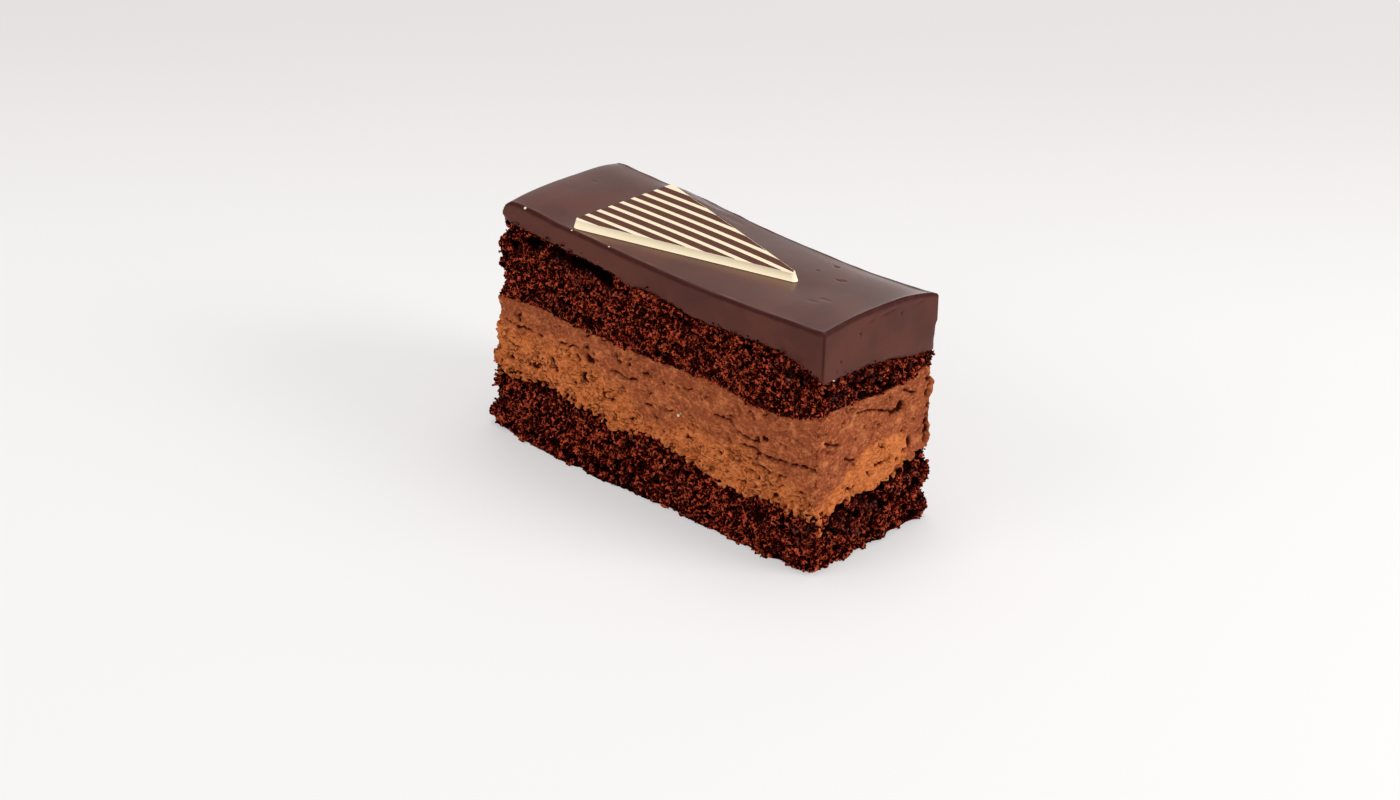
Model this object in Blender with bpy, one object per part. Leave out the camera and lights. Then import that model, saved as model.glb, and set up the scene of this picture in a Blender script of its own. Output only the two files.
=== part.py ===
"""Slice of chocolate layer cake: two sponge layers with a mousse filling, a thick glaze and a striped
chocolate triangle on top. The long cut side faces -Y, the end cut side faces +X, and it stands on Z = 0."""

import math
from bisect import bisect_right

import bmesh
import bpy
from mathutils import Matrix, Vector, noise
from mathutils.geometry import intersect_point_line, intersect_point_tri_2d

MM = 0.001

# Driving dimensions of the slice, in millimetres
LENGTH = 117.5
WIDTH = 44.7
LAYER_GAP = 0.3
SIDE_CELL = 2.9
KNIFE_CELL = 5.5
KNIFE_MARGIN = 12.0
END_ROUNDING = 4.6
ROUNDING_CUTS = (0.1, 0.3)
RELIEF_FADE = 9.0

HALF_WIDTH = WIDTH / 2
NEAR_END = 57.0
FAR_END = NEAR_END - LENGTH

# Heights where two layers meet, as (position, height): along X at front and back, along Y at the two ends
SPONGE_BOTTOM_TOP = {
    "front": (
        (-60.5, 17.0), (-45, 20.2), (-27, 18.6), (-12, 16.7), (-4, 19.8), (8, 18.2), (22, 15.3), (40, 16.6),
        (57, 18.8),
    ),
    "back": ((-60.5, 18.5), (-38, 16.8), (-14, 19.2), (10, 17.4), (34, 19.6), (57, 21.8)),
    "near": ((-22.35, 18.8), (-12, 18.6), (0, 18.3), (9, 18.4), (14, 21.8), (22.35, 21.8)),
    "far": ((-22.35, 17.0), (0, 19.4), (22.35, 18.5)),
}
MOUSSE_TOP = {
    "front": (
        (-60.5, 39.8), (-45, 41.8), (-27, 41.2), (-8, 41.7), (6, 43.0), (22, 43.4), (32, 42.1), (48, 43.8),
        (57, 48.4),
    ),
    "back": ((-60.5, 41.2), (-30, 40.6), (0, 42.4), (28, 42.6), (57, 47.8)),
    "near": ((-22.35, 48.4), (-10, 47.3), (2, 45.8), (12, 45.2), (22.35, 47.8)),
    "far": ((-22.35, 39.8), (0, 40.6), (22.35, 41.2)),
}
SPONGE_TOP_TOP = {
    "front": (
        (-60.5, 64.3), (-54, 63.6), (-30, 63.0), (-20, 62.7), (-13, 60.5), (-3, 61.9), (10, 60.0), (38, 61.3),
        (49, 60.4), (57, 55.8),
    ),
    "back": ((-60.5, 61.0), (-30, 60.2), (0, 57.6), (30, 56.4), (57, 49.6)),
    "near": ((-22.35, 55.8), (-8, 55.2), (2, 54.6), (11, 51.6), (22.35, 49.6)),
    "far": ((-22.35, 64.3), (0, 63.2), (22.35, 61.0)),
}
GLAZE_TOP = {
    "front": (
        (-60.5, 70.2), (-48, 70.1), (-34, 69.4), (-12, 69.2), (12, 69.3), (28, 70.0), (44, 71.1), (57, 71.9),
    ),
    "back": ((-60.5, 67.4), (-35, 66.6), (-6, 65.4), (13, 65.8), (33, 66.1), (50, 66.8), (57, 67.4)),
    "near": ((-22.35, 71.9), (-11, 72.4), (0, 71.9), (8, 71.2), (15, 69.8), (22.35, 67.4)),
    "far": ((-22.35, 70.2), (-15, 70.7), (-5, 70.6), (5, 69.9), (15, 69.0), (22.35, 67.4)),
}

# How far each cut side stands out of the plain box, by height, where its edges are seen against the light
FAR_END_OUTLINE = (
    (0, 1.0), (4.9, 1.8), (9.4, -0.9), (13, 0.2), (16, -0.2), (19.2, 1.6), (22, 2.7), (25, 0.6), (30, 0.7),
    (36.5, -0.8), (39.6, 0.8), (44, -1.3), (49, -0.2), (52.7, -0.9), (56.3, 1.6), (60.5, -3.2), (64, -1.0),
    (70, -0.9),
)
BACK_OUTLINE = (
    (0, -0.2), (4.8, 1.7), (8.4, -0.9), (12, 0.7), (17, 0.4), (21, -1.8), (23, 1.0), (27, 0.8), (34.6, 0.5),
    (39.7, 2.6), (44.3, -1.2), (48.5, 0.9), (53, 0.2), (70, 0.1),
)
NEAR_END_OUTLINE = ((0, -1.0), (3, -0.5), (17, -0.5), (48, -0.7), (54, -0.2), (57, 0.0), (70, 0.0))
BASE_FLARE = ((-60.5, 0.6), (-45, 2.3), (-22, 2.4), (5, 0.9), (35, 1.0), (50, 0.0), (57, -1.1))
FLARE_HEIGHT = 12.0

# Relief of the cut faces: (noise cell, depth) pairs, coarse first
SPONGE_RELIEF = ((9.0, 0.8), (3.6, 1.3))
MOUSSE_RELIEF = ((14.0, 0.5), (5.0, 0.45))
GLAZE_RELIEF = ((20.0, 0.18), (7.0, 0.05))

# Striped triangle: corners seen from above, edge shape, and the dark stripes laid across it
TRIANGLE_CORNERS = ((-34.5, -21.0), (32.2, -2.2), (-32.5, 16.6))
SEAT_HEIGHTS = (69.6, 70.2, 68.8)
SEAT_MARGIN = 3.5
SEAT_FADE = 7.0
TRIANGLE_THICKNESS = 2.1
TRIANGLE_BEVEL = 0.4
CORNER_RADII = (1.4, 0.6, 1.4)
CORNER_STEPS = 3
STRIPE_PITCH = 4.18
STRIPE_DARK_WIDTH = 2.58
STRIPE_RISE = 0.15
STRIPE_ANGLE = math.radians(0.7)
STRIPE_FIRST = -22.1
STRIPE_COUNT = 10

# A face whose normal is this close to upright counts as level, and points this close to a cut lie on it
LEVEL_NORMAL = 0.999
ON_CUT = 1e-6

COLOURS = {
    "sponge": (0.075, 0.018, 0.009, 1.0),
    "mousse": (0.270, 0.100, 0.045, 1.0),
    "glaze": (0.052, 0.023, 0.018, 1.0),
    "white_chocolate": (0.880, 0.760, 0.510, 1.0),
}
ROUGHNESS = {"sponge": 0.80, "mousse": 0.65, "glaze": 0.32, "white_chocolate": 0.40}


def clear_scene():
    for obj in list(bpy.data.objects):
        bpy.data.objects.remove(obj, do_unlink=True)


def along(points, position):
    """Height of a smooth line through (position, height) points, level past its two ends."""
    places = [p[0] for p in points]
    if position <= places[0]:
        return points[0][1]
    if position >= places[-1]:
        return points[-1][1]
    i = bisect_right(places, position) - 1
    (x0, y0), (x1, y1) = points[i], points[i + 1]
    before = points[max(i - 1, 0)]
    after = points[min(i + 2, len(points) - 1)]
    span = x1 - x0
    slope_in = (y1 - before[1]) / (x1 - before[0]) * span
    slope_out = (after[1] - y0) / (after[0] - x0) * span
    t = (position - x0) / span
    return (
        (2 * t**3 - 3 * t**2 + 1) * y0
        + (t**3 - 2 * t**2 + t) * slope_in
        + (3 * t**2 - 2 * t**3) * y1
        + (t**3 - t**2) * slope_out
    )


def surface_height(edges, x, y):
    """Height at (x, y) of the patch stretched between a layer's four edge lines."""
    u = min(max((x - FAR_END) / LENGTH, 0.0), 1.0)
    v = min(max((y + HALF_WIDTH) / WIDTH, 0.0), 1.0)
    long_way = (1 - v) * along(edges["front"], x) + v * along(edges["back"], x)
    short_way = (1 - u) * along(edges["far"], y) + u * along(edges["near"], y)
    corners = (
        (1 - u) * (1 - v) * edges["front"][0][1]
        + u * (1 - v) * edges["front"][-1][1]
        + (1 - u) * v * edges["back"][0][1]
        + u * v * edges["back"][-1][1]
    )
    return long_way + short_way - corners


def seat_height(x, y):
    """Height of the flat seat that the triangle has pressed into the soft glaze."""
    a, b, c = (Vector((*corner, height)) for corner, height in zip(TRIANGLE_CORNERS, SEAT_HEIGHTS))
    normal = (b - a).cross(c - a)
    return a.z - (normal.x * (x - a.x) + normal.y * (y - a.y)) / normal.z


def distance_to_triangle(x, y):
    """Distance from a point on the glaze to the triangle's outline, zero under the triangle."""
    point = Vector((x, y, 0))
    corners = [Vector((*corner, 0)) for corner in TRIANGLE_CORNERS]
    if intersect_point_tri_2d(point, *corners):
        return 0.0
    distances = []
    for start, end in zip(corners, corners[1:] + corners[:1]):
        _, share = intersect_point_line(point, start, end)
        nearest = start.lerp(end, min(max(share, 0.0), 1.0))
        distances.append((point - nearest).length)
    return min(distances)


def glaze_height(x, y):
    """Top of the glaze, rounded down over the far end.

    The triangle has pressed it down a little way round itself, and it fills the hollow right beneath."""
    height = surface_height(GLAZE_TOP, x, y)
    seat = seat_height(x, y)
    margin = SEAT_MARGIN if height > seat else 0.0
    fade = min(max((distance_to_triangle(x, y) - margin) / SEAT_FADE, 0.0), 1.0)
    seat_share = 1.0 - fade * fade * (3.0 - 2.0 * fade)
    height += seat_share * (seat - height)
    into_end = min(max(END_ROUNDING - (x - FAR_END), 0.0), END_ROUNDING)
    return height - END_ROUNDING + math.sqrt(END_ROUNDING**2 - into_end**2)


def roughness_at(point, relief):
    """Height of layered noise at a point, in millimetres."""
    return sum(depth * noise.noise(point / cell) for cell, depth in relief)


def relief_of(x, y, z):
    """The relief of the layer that lies at this height."""
    if z < surface_height(SPONGE_BOTTOM_TOP, x, y):
        return SPONGE_RELIEF
    if z < surface_height(MOUSSE_TOP, x, y):
        return MOUSSE_RELIEF
    if z < surface_height(SPONGE_TOP_TOP, x, y):
        return SPONGE_RELIEF
    return GLAZE_RELIEF


def side_shift(point):
    """How far a point of the block moves along X and Y, for its outlines and its craggy cut faces.

    The far end's outline belongs to its front edge and the back's to its near edge: each fades from there."""
    x, y, z = point
    rough = roughness_at(point, relief_of(x, y, z))
    low = 1.0 - min(z / FLARE_HEIGHT, 1.0)
    out_near = along(NEAR_END_OUTLINE, z) + rough
    out_far = along(FAR_END_OUTLINE, z) * (1.0 - y / HALF_WIDTH) / 2 + rough
    out_front = along(BASE_FLARE, x) * low**2 + rough
    out_back = along(BACK_OUTLINE, z) * (1.0 + x / NEAR_END) / 2 + rough
    near_share = max(0.0, 1.0 - (NEAR_END - x) / RELIEF_FADE)
    far_share = max(0.0, 1.0 - (x - FAR_END) / RELIEF_FADE)
    front_share = max(0.0, 1.0 - (y + HALF_WIDTH) / RELIEF_FADE)
    back_share = max(0.0, 1.0 - (HALF_WIDTH - y) / RELIEF_FADE)
    shift_x = near_share * out_near - far_share * out_far
    shift_y = back_share * out_back - front_share * out_front
    return shift_x, shift_y


def even_cuts(low, high, cell):
    """Positions that divide a span into equal cells no longer than this."""
    count = math.ceil((high - low) / cell)
    return [low + (high - low) * i / count for i in range(1, count)]


def cut_across(bm, axis, positions):
    """Cuts the whole mesh with planes square to one axis."""
    normal = Vector((0, 0, 0))
    normal[axis] = 1.0
    for position in positions:
        geometry = bm.verts[:] + bm.edges[:] + bm.faces[:]
        bmesh.ops.bisect_plane(bm, geom=geometry, dist=ON_CUT, plane_co=normal * position, plane_no=normal)


def block_mesh():
    """The whole slice below its triangle as one closed block, before the layers are parted."""
    bm = bmesh.new()
    middle = Vector(((NEAR_END + FAR_END) / 2, 0, 0.5))
    box = Matrix.Translation(middle) @ Matrix.Diagonal((LENGTH, WIDTH, 1, 1))
    bmesh.ops.create_cube(bm, size=1.0, matrix=box)
    cut_across(bm, 0, [FAR_END + share * END_ROUNDING for share in ROUNDING_CUTS])
    cut_across(bm, 0, even_cuts(FAR_END, NEAR_END, SIDE_CELL))
    cut_across(bm, 1, even_cuts(-HALF_WIDTH, HALF_WIDTH, SIDE_CELL))
    tallest = max(height for edge in GLAZE_TOP.values() for _, height in edge)
    cut_across(bm, 2, even_cuts(0.0, 1.0, SIDE_CELL / tallest))
    for vert in bm.verts:
        x, y, share = vert.co
        z = share * glaze_height(x, y)
        shift_x, shift_y = side_shift(Vector((x, y, z)))
        vert.co = Vector((x + shift_x, y + shift_y, z))
    flat_underside(bm)
    return bm


def flat_underside(bm):
    """Dissolves the cuts across the flat underside, which the slice stands on."""
    bm.normal_update()
    inner = [edge for edge in bm.edges if all(face.normal.z < -LEVEL_NORMAL for face in edge.link_faces)]
    bmesh.ops.dissolve_edges(bm, edges=inner, use_verts=False)


def slab_mesh(lower, upper):
    """A closed slab between two height functions, wider than the slice, that a layer is cut out with."""
    bm = bmesh.new()
    half_x = LENGTH / 2 + KNIFE_MARGIN
    half_y = HALF_WIDTH + KNIFE_MARGIN
    centre = Matrix.Translation(((NEAR_END + FAR_END) / 2, 0, 0))
    bmesh.ops.create_grid(
        bm,
        x_segments=round(2 * half_x / KNIFE_CELL),
        y_segments=round(2 * half_y / KNIFE_CELL),
        size=1.0,
        matrix=centre @ Matrix.Diagonal((half_x, half_y, 1, 1)),
    )
    bmesh.ops.triangulate(bm, faces=bm.faces[:])
    extruded = bmesh.ops.extrude_face_region(bm, geom=bm.faces[:])
    top = {item for item in extruded["geom"] if isinstance(item, bmesh.types.BMVert)}
    for vert in bm.verts:
        height = upper if vert in top else lower
        vert.co.z = height(vert.co.x, vert.co.y)
    bmesh.ops.recalc_face_normals(bm, faces=bm.faces[:])
    return bm


def material(name):
    made = bpy.data.materials.get(name)
    if made:
        return made
    made = bpy.data.materials.new(name)
    made.use_nodes = True
    shader = made.node_tree.nodes["Principled BSDF"]
    shader.inputs["Base Color"].default_value = COLOURS[name]
    shader.inputs["Roughness"].default_value = ROUGHNESS[name]
    made.diffuse_color = COLOURS[name]
    return made


def object_from(bm, name, material_name=None):
    """Scales a mesh from millimetres to metres and links it as an object."""
    bmesh.ops.scale(bm, vec=(MM, MM, MM), verts=bm.verts[:])
    mesh = bpy.data.meshes.new(name)
    bm.to_mesh(mesh)
    bm.free()
    if material_name:
        mesh.materials.append(material(material_name))
    obj = bpy.data.objects.new(name, mesh)
    bpy.context.scene.collection.objects.link(obj)
    return obj


def level(edges, offset):
    """The height function of a layer's top, moved up or down."""
    return lambda x, y: surface_height(edges, x, y) + offset


def make_layers():
    """Each layer is the block cut by the slab between the knives above and below it."""
    half_gap = LAYER_GAP / 2
    below_all, above_all = -20.0, 90.0
    layers = (
        ("sponge_bottom", "sponge", lambda x, y: below_all, level(SPONGE_BOTTOM_TOP, -half_gap)),
        ("mousse", "mousse", level(SPONGE_BOTTOM_TOP, half_gap), level(MOUSSE_TOP, -half_gap)),
        ("sponge_top", "sponge", level(MOUSSE_TOP, half_gap), level(SPONGE_TOP_TOP, -half_gap)),
        ("glaze", "glaze", level(SPONGE_TOP_TOP, half_gap), lambda x, y: above_all),
    )
    made = []
    for name, material_name, lower, upper in layers:
        layer = object_from(block_mesh(), name, material_name)
        knife = object_from(slab_mesh(lower, upper), name + "_knife")
        knife.hide_render = True
        knife.display_type = "WIRE"
        cut = layer.modifiers.new("part_layer", "BOOLEAN")
        cut.operation = "INTERSECT"
        cut.solver = "EXACT"
        cut.object = knife
        made.append(layer)
    return made


def rounded_outline(corners, radii):
    """Corner points of a polygon, anticlockwise, with each corner replaced by an arc."""
    points = []
    for i, (here, radius) in enumerate(zip(corners, radii)):
        corner = Vector(here)
        to_before = (Vector(corners[i - 1]) - corner).normalized()
        to_after = (Vector(corners[(i + 1) % len(corners)]) - corner).normalized()
        half_angle = to_before.angle(to_after) / 2
        centre = corner + (to_before + to_after).normalized() * (radius / math.sin(half_angle))
        start = corner + to_before * (radius / math.tan(half_angle)) - centre
        sweep = math.pi - 2 * half_angle
        for step in range(CORNER_STEPS + 1):
            turn = Matrix.Rotation(sweep * step / CORNER_STEPS, 2)
            points.append(centre + turn @ start)
    return points


def stripe_direction():
    return Vector((math.cos(STRIPE_ANGLE), math.sin(STRIPE_ANGLE), 0))


def cut_stripes(bm, top):
    """Cuts the triangle's top along the borders of its stripes."""
    across = Vector((-stripe_direction().y, stripe_direction().x, 0))
    faces = [top]
    for i in range(STRIPE_COUNT):
        for border in (STRIPE_FIRST + STRIPE_PITCH * i, STRIPE_FIRST + STRIPE_PITCH * i + STRIPE_DARK_WIDTH):
            edges = {edge for face in faces for edge in face.edges}
            verts = {vert for face in faces for vert in face.verts}
            geometry = faces + list(edges) + list(verts)
            bmesh.ops.bisect_plane(bm, geom=geometry, dist=ON_CUT, plane_co=across * border, plane_no=across)
            faces = [face for face in bm.faces if face.normal.z > LEVEL_NORMAL]


def in_dark_stripe(point):
    across = Vector((-stripe_direction().y, stripe_direction().x, 0))
    place = (across.dot(point) - STRIPE_FIRST) / STRIPE_PITCH
    return 0 <= place < STRIPE_COUNT and (place % 1.0) * STRIPE_PITCH < STRIPE_DARK_WIDTH


def make_triangle():
    """A flat bevelled plate of white chocolate with raised dark stripes, lying in its seat on the glaze."""
    bm = bmesh.new()
    outline = [bm.verts.new((p.x, p.y, 0)) for p in rounded_outline(TRIANGLE_CORNERS, CORNER_RADII)]
    underside = bm.faces.new(outline)
    extruded = bmesh.ops.extrude_face_region(bm, geom=[underside])
    rim = [item for item in extruded["geom"] if isinstance(item, bmesh.types.BMVert)]
    bmesh.ops.translate(bm, verts=rim, vec=(0, 0, TRIANGLE_THICKNESS))
    bmesh.ops.recalc_face_normals(bm, faces=bm.faces[:])
    top = next(f for f in bm.faces if f.normal.z > LEVEL_NORMAL)
    bmesh.ops.inset_region(bm, faces=[top], thickness=TRIANGLE_BEVEL, use_even_offset=True)
    inner = set(top.verts)
    for vert in rim:
        if vert not in inner:
            vert.co.z -= TRIANGLE_BEVEL
    bm.normal_update()
    cut_stripes(bm, top)
    bm.normal_update()
    dark = [f for f in bm.faces if f.normal.z > LEVEL_NORMAL and in_dark_stripe(f.calc_center_median())]
    raised = bmesh.ops.extrude_face_region(bm, geom=dark)
    lifted = [item for item in raised["geom"] if isinstance(item, bmesh.types.BMVert)]
    bmesh.ops.delete(bm, geom=dark, context="FACES_ONLY")
    bmesh.ops.translate(bm, verts=lifted, vec=(0, 0, STRIPE_RISE))
    for vert in bm.verts:
        vert.co.z += seat_height(vert.co.x, vert.co.y) + LAYER_GAP
    return object_from(bm, "chocolate_triangle", "white_chocolate")


def stand_on_origin(objects):
    """Moves everything so that the slice's box is centred on the origin and stands on Z = 0."""
    bpy.context.view_layer.update()
    graph = bpy.context.evaluated_depsgraph_get()
    corners = [Vector(c) for obj in objects for c in obj.evaluated_get(graph).bound_box]
    low = Vector([min(c[i] for c in corners) for i in range(3)])
    high = Vector([max(c[i] for c in corners) for i in range(3)])
    shift = Vector((-(low.x + high.x) / 2, -(low.y + high.y) / 2, -low.z))
    for obj in bpy.context.scene.collection.objects:
        obj.location += shift
    print("centred by", [round(value / MM, 3) for value in shift], "mm")


def main():
    clear_scene()
    solids = make_layers()
    solids.append(make_triangle())
    stand_on_origin(solids)


main()
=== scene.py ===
# %% [markdown]
# # A slice of chocolate layer cake
#
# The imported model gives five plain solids: two layers of sponge with mousse between them, a thick glaze and
# a striped chocolate triangle. This lesson dresses each one. Sponge and mousse are all about their cut
# faces, so most of the work is relief: pits, crumbs, tears and drips at their true size. The glaze needs
# the opposite, a calm surface that catches long soft reflections.
#
# We start by loading the model and by keeping its size, so that we can check later that we stay inside it.

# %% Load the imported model
import math
import random

import bmesh
import bpy
import numpy as np
from mathutils import Matrix, Vector, noise
from mathutils.kdtree import KDTree


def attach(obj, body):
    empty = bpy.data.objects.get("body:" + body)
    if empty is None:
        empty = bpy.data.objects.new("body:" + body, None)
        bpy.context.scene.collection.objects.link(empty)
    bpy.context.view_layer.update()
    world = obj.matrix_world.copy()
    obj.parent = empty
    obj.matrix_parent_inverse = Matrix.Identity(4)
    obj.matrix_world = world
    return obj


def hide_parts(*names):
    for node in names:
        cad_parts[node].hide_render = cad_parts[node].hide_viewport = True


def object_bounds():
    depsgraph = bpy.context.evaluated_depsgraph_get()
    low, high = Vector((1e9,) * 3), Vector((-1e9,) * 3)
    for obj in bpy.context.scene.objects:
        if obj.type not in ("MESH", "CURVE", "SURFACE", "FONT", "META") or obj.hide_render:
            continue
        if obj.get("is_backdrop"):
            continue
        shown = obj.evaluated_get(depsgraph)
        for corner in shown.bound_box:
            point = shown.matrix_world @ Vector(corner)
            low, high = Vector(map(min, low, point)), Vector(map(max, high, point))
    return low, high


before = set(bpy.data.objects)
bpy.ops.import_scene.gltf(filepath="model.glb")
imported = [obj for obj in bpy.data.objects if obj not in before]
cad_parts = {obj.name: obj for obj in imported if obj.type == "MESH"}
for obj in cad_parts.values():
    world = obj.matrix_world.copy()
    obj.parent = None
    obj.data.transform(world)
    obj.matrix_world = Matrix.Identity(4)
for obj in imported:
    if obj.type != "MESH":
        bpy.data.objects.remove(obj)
cad_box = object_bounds()
MM = 0.001
print("nodes:", sorted(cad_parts))
print("box in mm:", [[round(value / MM, 1) for value in corner] for corner in cad_box])

# %% [markdown]
# ## Camera, light and floor
#
# The photo was taken with a long lens from the right front corner, looking down at about 28 degrees. A long
# lens keeps the edges nearly parallel. We place the camera by its angles, because we can read those off the
# slice: how much of its end shows next to its long side, and how much of its top.

# %% Camera
CAMERA_PLACE = Vector((654.43, -736.88, 557.54)) * MM
CAMERA_AZIMUTH = math.radians(41.687)
CAMERA_ELEVATION = math.radians(28.540)
CAMERA_ROLL = math.radians(1.962)
CAMERA_LENS = 105.6
SENSOR_WIDTH = 36.0

bpy.ops.object.select_all(action="DESELECT")
bpy.ops.object.camera_add(location=CAMERA_PLACE)
camera = bpy.context.object
camera.rotation_euler = (
    Matrix.Rotation(CAMERA_AZIMUTH, 3, "Z")
    @ Matrix.Rotation(math.pi / 2 - CAMERA_ELEVATION, 3, "X")
    @ Matrix.Rotation(CAMERA_ROLL, 3, "Z")
).to_euler()
camera.data.lens = CAMERA_LENS
camera.data.sensor_width = SENSOR_WIDTH
camera.data.clip_end = 10.0
bpy.context.scene.camera = camera
bpy.context.scene.view_settings.view_transform = "Standard"
print("camera stands", round(CAMERA_PLACE.length, 3), "m from the slice")

# %% [markdown]
# The light in the photo is soft and comes from all round, brightest from the right and from behind. That is
# what a food photographer gets from a window, a pale ceiling and white cards. One big lamp stands for the
# window and one for the ceiling, a weaker one for the card in front, and the pale world fills the rest.

# %% Lamps, world and floor
WORLD_COLOUR = (1.0, 0.975, 0.955, 1.0)
WORLD_STRENGTH = 0.5
LAMPS = {
    "window": {"place": (0.85, 0.35, 0.6), "size": 0.5, "watts": 5.5},
    "card": {"place": (-0.25, -0.9, 0.7), "size": 0.5, "watts": 2.9},
    "ceiling": {"place": (-0.1, 0.2, 1.2), "size": 0.8, "watts": 4.5},
}


def add_lamp(name, place, size, watts):
    bpy.ops.object.light_add(type="AREA", location=place)
    lamp = bpy.context.object
    lamp.name = name
    lamp.data.size = size
    lamp.data.energy = watts
    lamp.rotation_euler = (-Vector(place)).to_track_quat("-Z", "Y").to_euler()
    return lamp


for lamp_name, lamp_values in LAMPS.items():
    add_lamp(lamp_name, **lamp_values)

world = bpy.data.worlds.new("studio")
world.use_nodes = True
world.node_tree.nodes["Background"].inputs["Color"].default_value = WORLD_COLOUR
world.node_tree.nodes["Background"].inputs["Strength"].default_value = WORLD_STRENGTH
bpy.context.scene.world = world

bpy.ops.mesh.primitive_plane_add(size=8.0)
floor = bpy.context.object
floor.name = "floor"
floor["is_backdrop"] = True
print("lamps:", list(LAMPS))

# %% [markdown]
# ## Helpers
#
# Every piece goes through the same few hand moves: pick it, add a modifier, apply it, read or write its
# points. Each move gets one small function, so the cells below can stay about cake.

# %% Helpers for pieces and modifiers
# Weights in a vertex group are rounded to this many steps, so that they can be written in a few calls
WEIGHT_STEPS = 20


def pick(piece):
    bpy.ops.object.select_all(action="DESELECT")
    piece.select_set(True)
    bpy.context.view_layer.objects.active = piece


def apply_modifier(piece, kind, **settings):
    pick(piece)
    modifier = piece.modifiers.new(kind.lower(), kind)
    for key, value in settings.items():
        setattr(modifier, key, value)
    bpy.ops.object.modifier_apply(modifier=modifier.name)


def join_pieces(first, others):
    pick(first)
    for other in others:
        other.select_set(True)
    bpy.ops.object.join()
    return first


def copy_of_node(node, name):
    """A CAD solid copied as a new piece, with its loose triangles joined."""
    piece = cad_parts[node].copy()
    piece.data = piece.data.copy()
    piece.name = name
    piece.data.name = name
    bpy.context.scene.collection.objects.link(piece)
    piece.data.materials.clear()
    pick(piece)
    bpy.ops.object.mode_set(mode="EDIT")
    bpy.ops.mesh.select_all(action="SELECT")
    bpy.ops.mesh.remove_doubles(threshold=1e-6)
    bpy.ops.object.mode_set(mode="OBJECT")
    return piece


def read_points(piece):
    """The piece's points in millimetres, one row each."""
    values = np.empty(len(piece.data.vertices) * 3)
    piece.data.vertices.foreach_get("co", values)
    return values.reshape(-1, 3) / MM


def write_points(piece, points):
    piece.data.vertices.foreach_set("co", (points * MM).ravel())
    piece.data.update()


def read_normals(piece):
    values = np.empty(len(piece.data.vertices) * 3)
    piece.data.vertex_normals.foreach_get("vector", values)
    return values.reshape(-1, 3)


def write_mask(piece, name, values):
    """Stores one number for each point, which a material can read by its name."""
    attribute = piece.data.attributes.get(name) or piece.data.attributes.new(name, "FLOAT", "POINT")
    attribute.data.foreach_set("value", np.asarray(values, dtype=np.float32))


def read_mask(piece, name):
    values = np.empty(len(piece.data.vertices), dtype=np.float32)
    piece.data.attributes[name].data.foreach_get("value", values)
    return values


def weigh_points(piece, name, weights):
    """Stores the weights as a vertex group, which limits a modifier to part of a piece."""
    group = piece.vertex_groups.new(name=name)
    steps = np.round(np.clip(weights, 0, 1) * WEIGHT_STEPS).astype(int)
    for step in range(1, WEIGHT_STEPS + 1):
        chosen = np.nonzero(steps == step)[0]
        if len(chosen):
            group.add(chosen.tolist(), step / WEIGHT_STEPS, "REPLACE")


def fade(values, low, high):
    """0 below low, 1 above high, and smooth between."""
    share = np.clip((values - low) / (high - low), 0, 1)
    return share * share * (3 - 2 * share)


def noise_at(points, cell, seed=0.0):
    """Smooth noise from about -1 to 1 at each point, with features about one cell wide."""
    shift = Vector((seed, seed * 1.7, seed * 2.3))
    return np.array([noise.noise(Vector(p) / cell + shift) for p in points])


def finish_piece(piece, node, material):
    """Gives a piece its material and smooth shading, hides the CAD node it replaces, if any, and attaches it
    to its body.
    """
    piece.data.materials.append(material)
    piece.data.shade_smooth()
    if node:
        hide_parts(node)
    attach(piece, "root")


print("weights are written in", WEIGHT_STEPS, "steps")

# %% [markdown]
# Materials are built from a few node helpers too. Two effects come back in nearly every material here, soft
# patches of a second colour and a fine unevenness of the skin, so each of them is a node group with named
# sockets. A material places the group and gives it its own sizes and colours.

# %% Helpers for materials


def new_material(name):
    made = bpy.data.materials.new(name)
    made.use_nodes = True
    return made.node_tree, made


def plug(tree, target, value):
    """Links a socket, or writes a plain number or colour."""
    if isinstance(value, bpy.types.NodeSocket):
        tree.links.new(value, target)
    else:
        target.default_value = value


def math_of(tree, operation, first, second=0.0):
    node = tree.nodes.new("ShaderNodeMath")
    node.operation = operation
    plug(tree, node.inputs[0], first)
    plug(tree, node.inputs[1], second)
    return node.outputs[0]


def range_of(tree, value, low, high, to_low=0.0, to_high=1.0):
    node = tree.nodes.new("ShaderNodeMapRange")
    node.interpolation_type = "SMOOTHSTEP"
    plug(tree, node.inputs["Value"], value)
    node.inputs["From Min"].default_value = low
    node.inputs["From Max"].default_value = high
    node.inputs["To Min"].default_value = to_low
    node.inputs["To Max"].default_value = to_high
    return node.outputs["Result"]


def noise_of(tree, vector, cell, detail=2.0, stretch=None):
    """Noise whose features are about one cell, in millimetres, wide."""
    node = tree.nodes.new("ShaderNodeTexNoise")
    node.inputs["Scale"].default_value = 1 / (cell * MM)
    node.inputs["Detail"].default_value = detail
    if stretch:
        mapping = tree.nodes.new("ShaderNodeMapping")
        mapping.inputs["Scale"].default_value = stretch
        tree.links.new(vector, mapping.inputs["Vector"])
        vector = mapping.outputs["Vector"]
    tree.links.new(vector, node.inputs["Vector"])
    return node.outputs["Fac"]


def warped(tree, vector, cell, reach):
    """The same places, pushed about by noise, so that a pattern laid on them wriggles."""
    push = tree.nodes.new("ShaderNodeTexNoise")
    push.inputs["Scale"].default_value = 1 / (cell * MM)
    tree.links.new(vector, push.inputs["Vector"])
    node = tree.nodes.new("ShaderNodeVectorMath")
    node.operation = "MULTIPLY_ADD"
    tree.links.new(push.outputs["Color"], node.inputs[0])
    node.inputs[1].default_value = (reach * MM,) * 3
    tree.links.new(vector, node.inputs[2])
    return node.outputs["Vector"]


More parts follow.
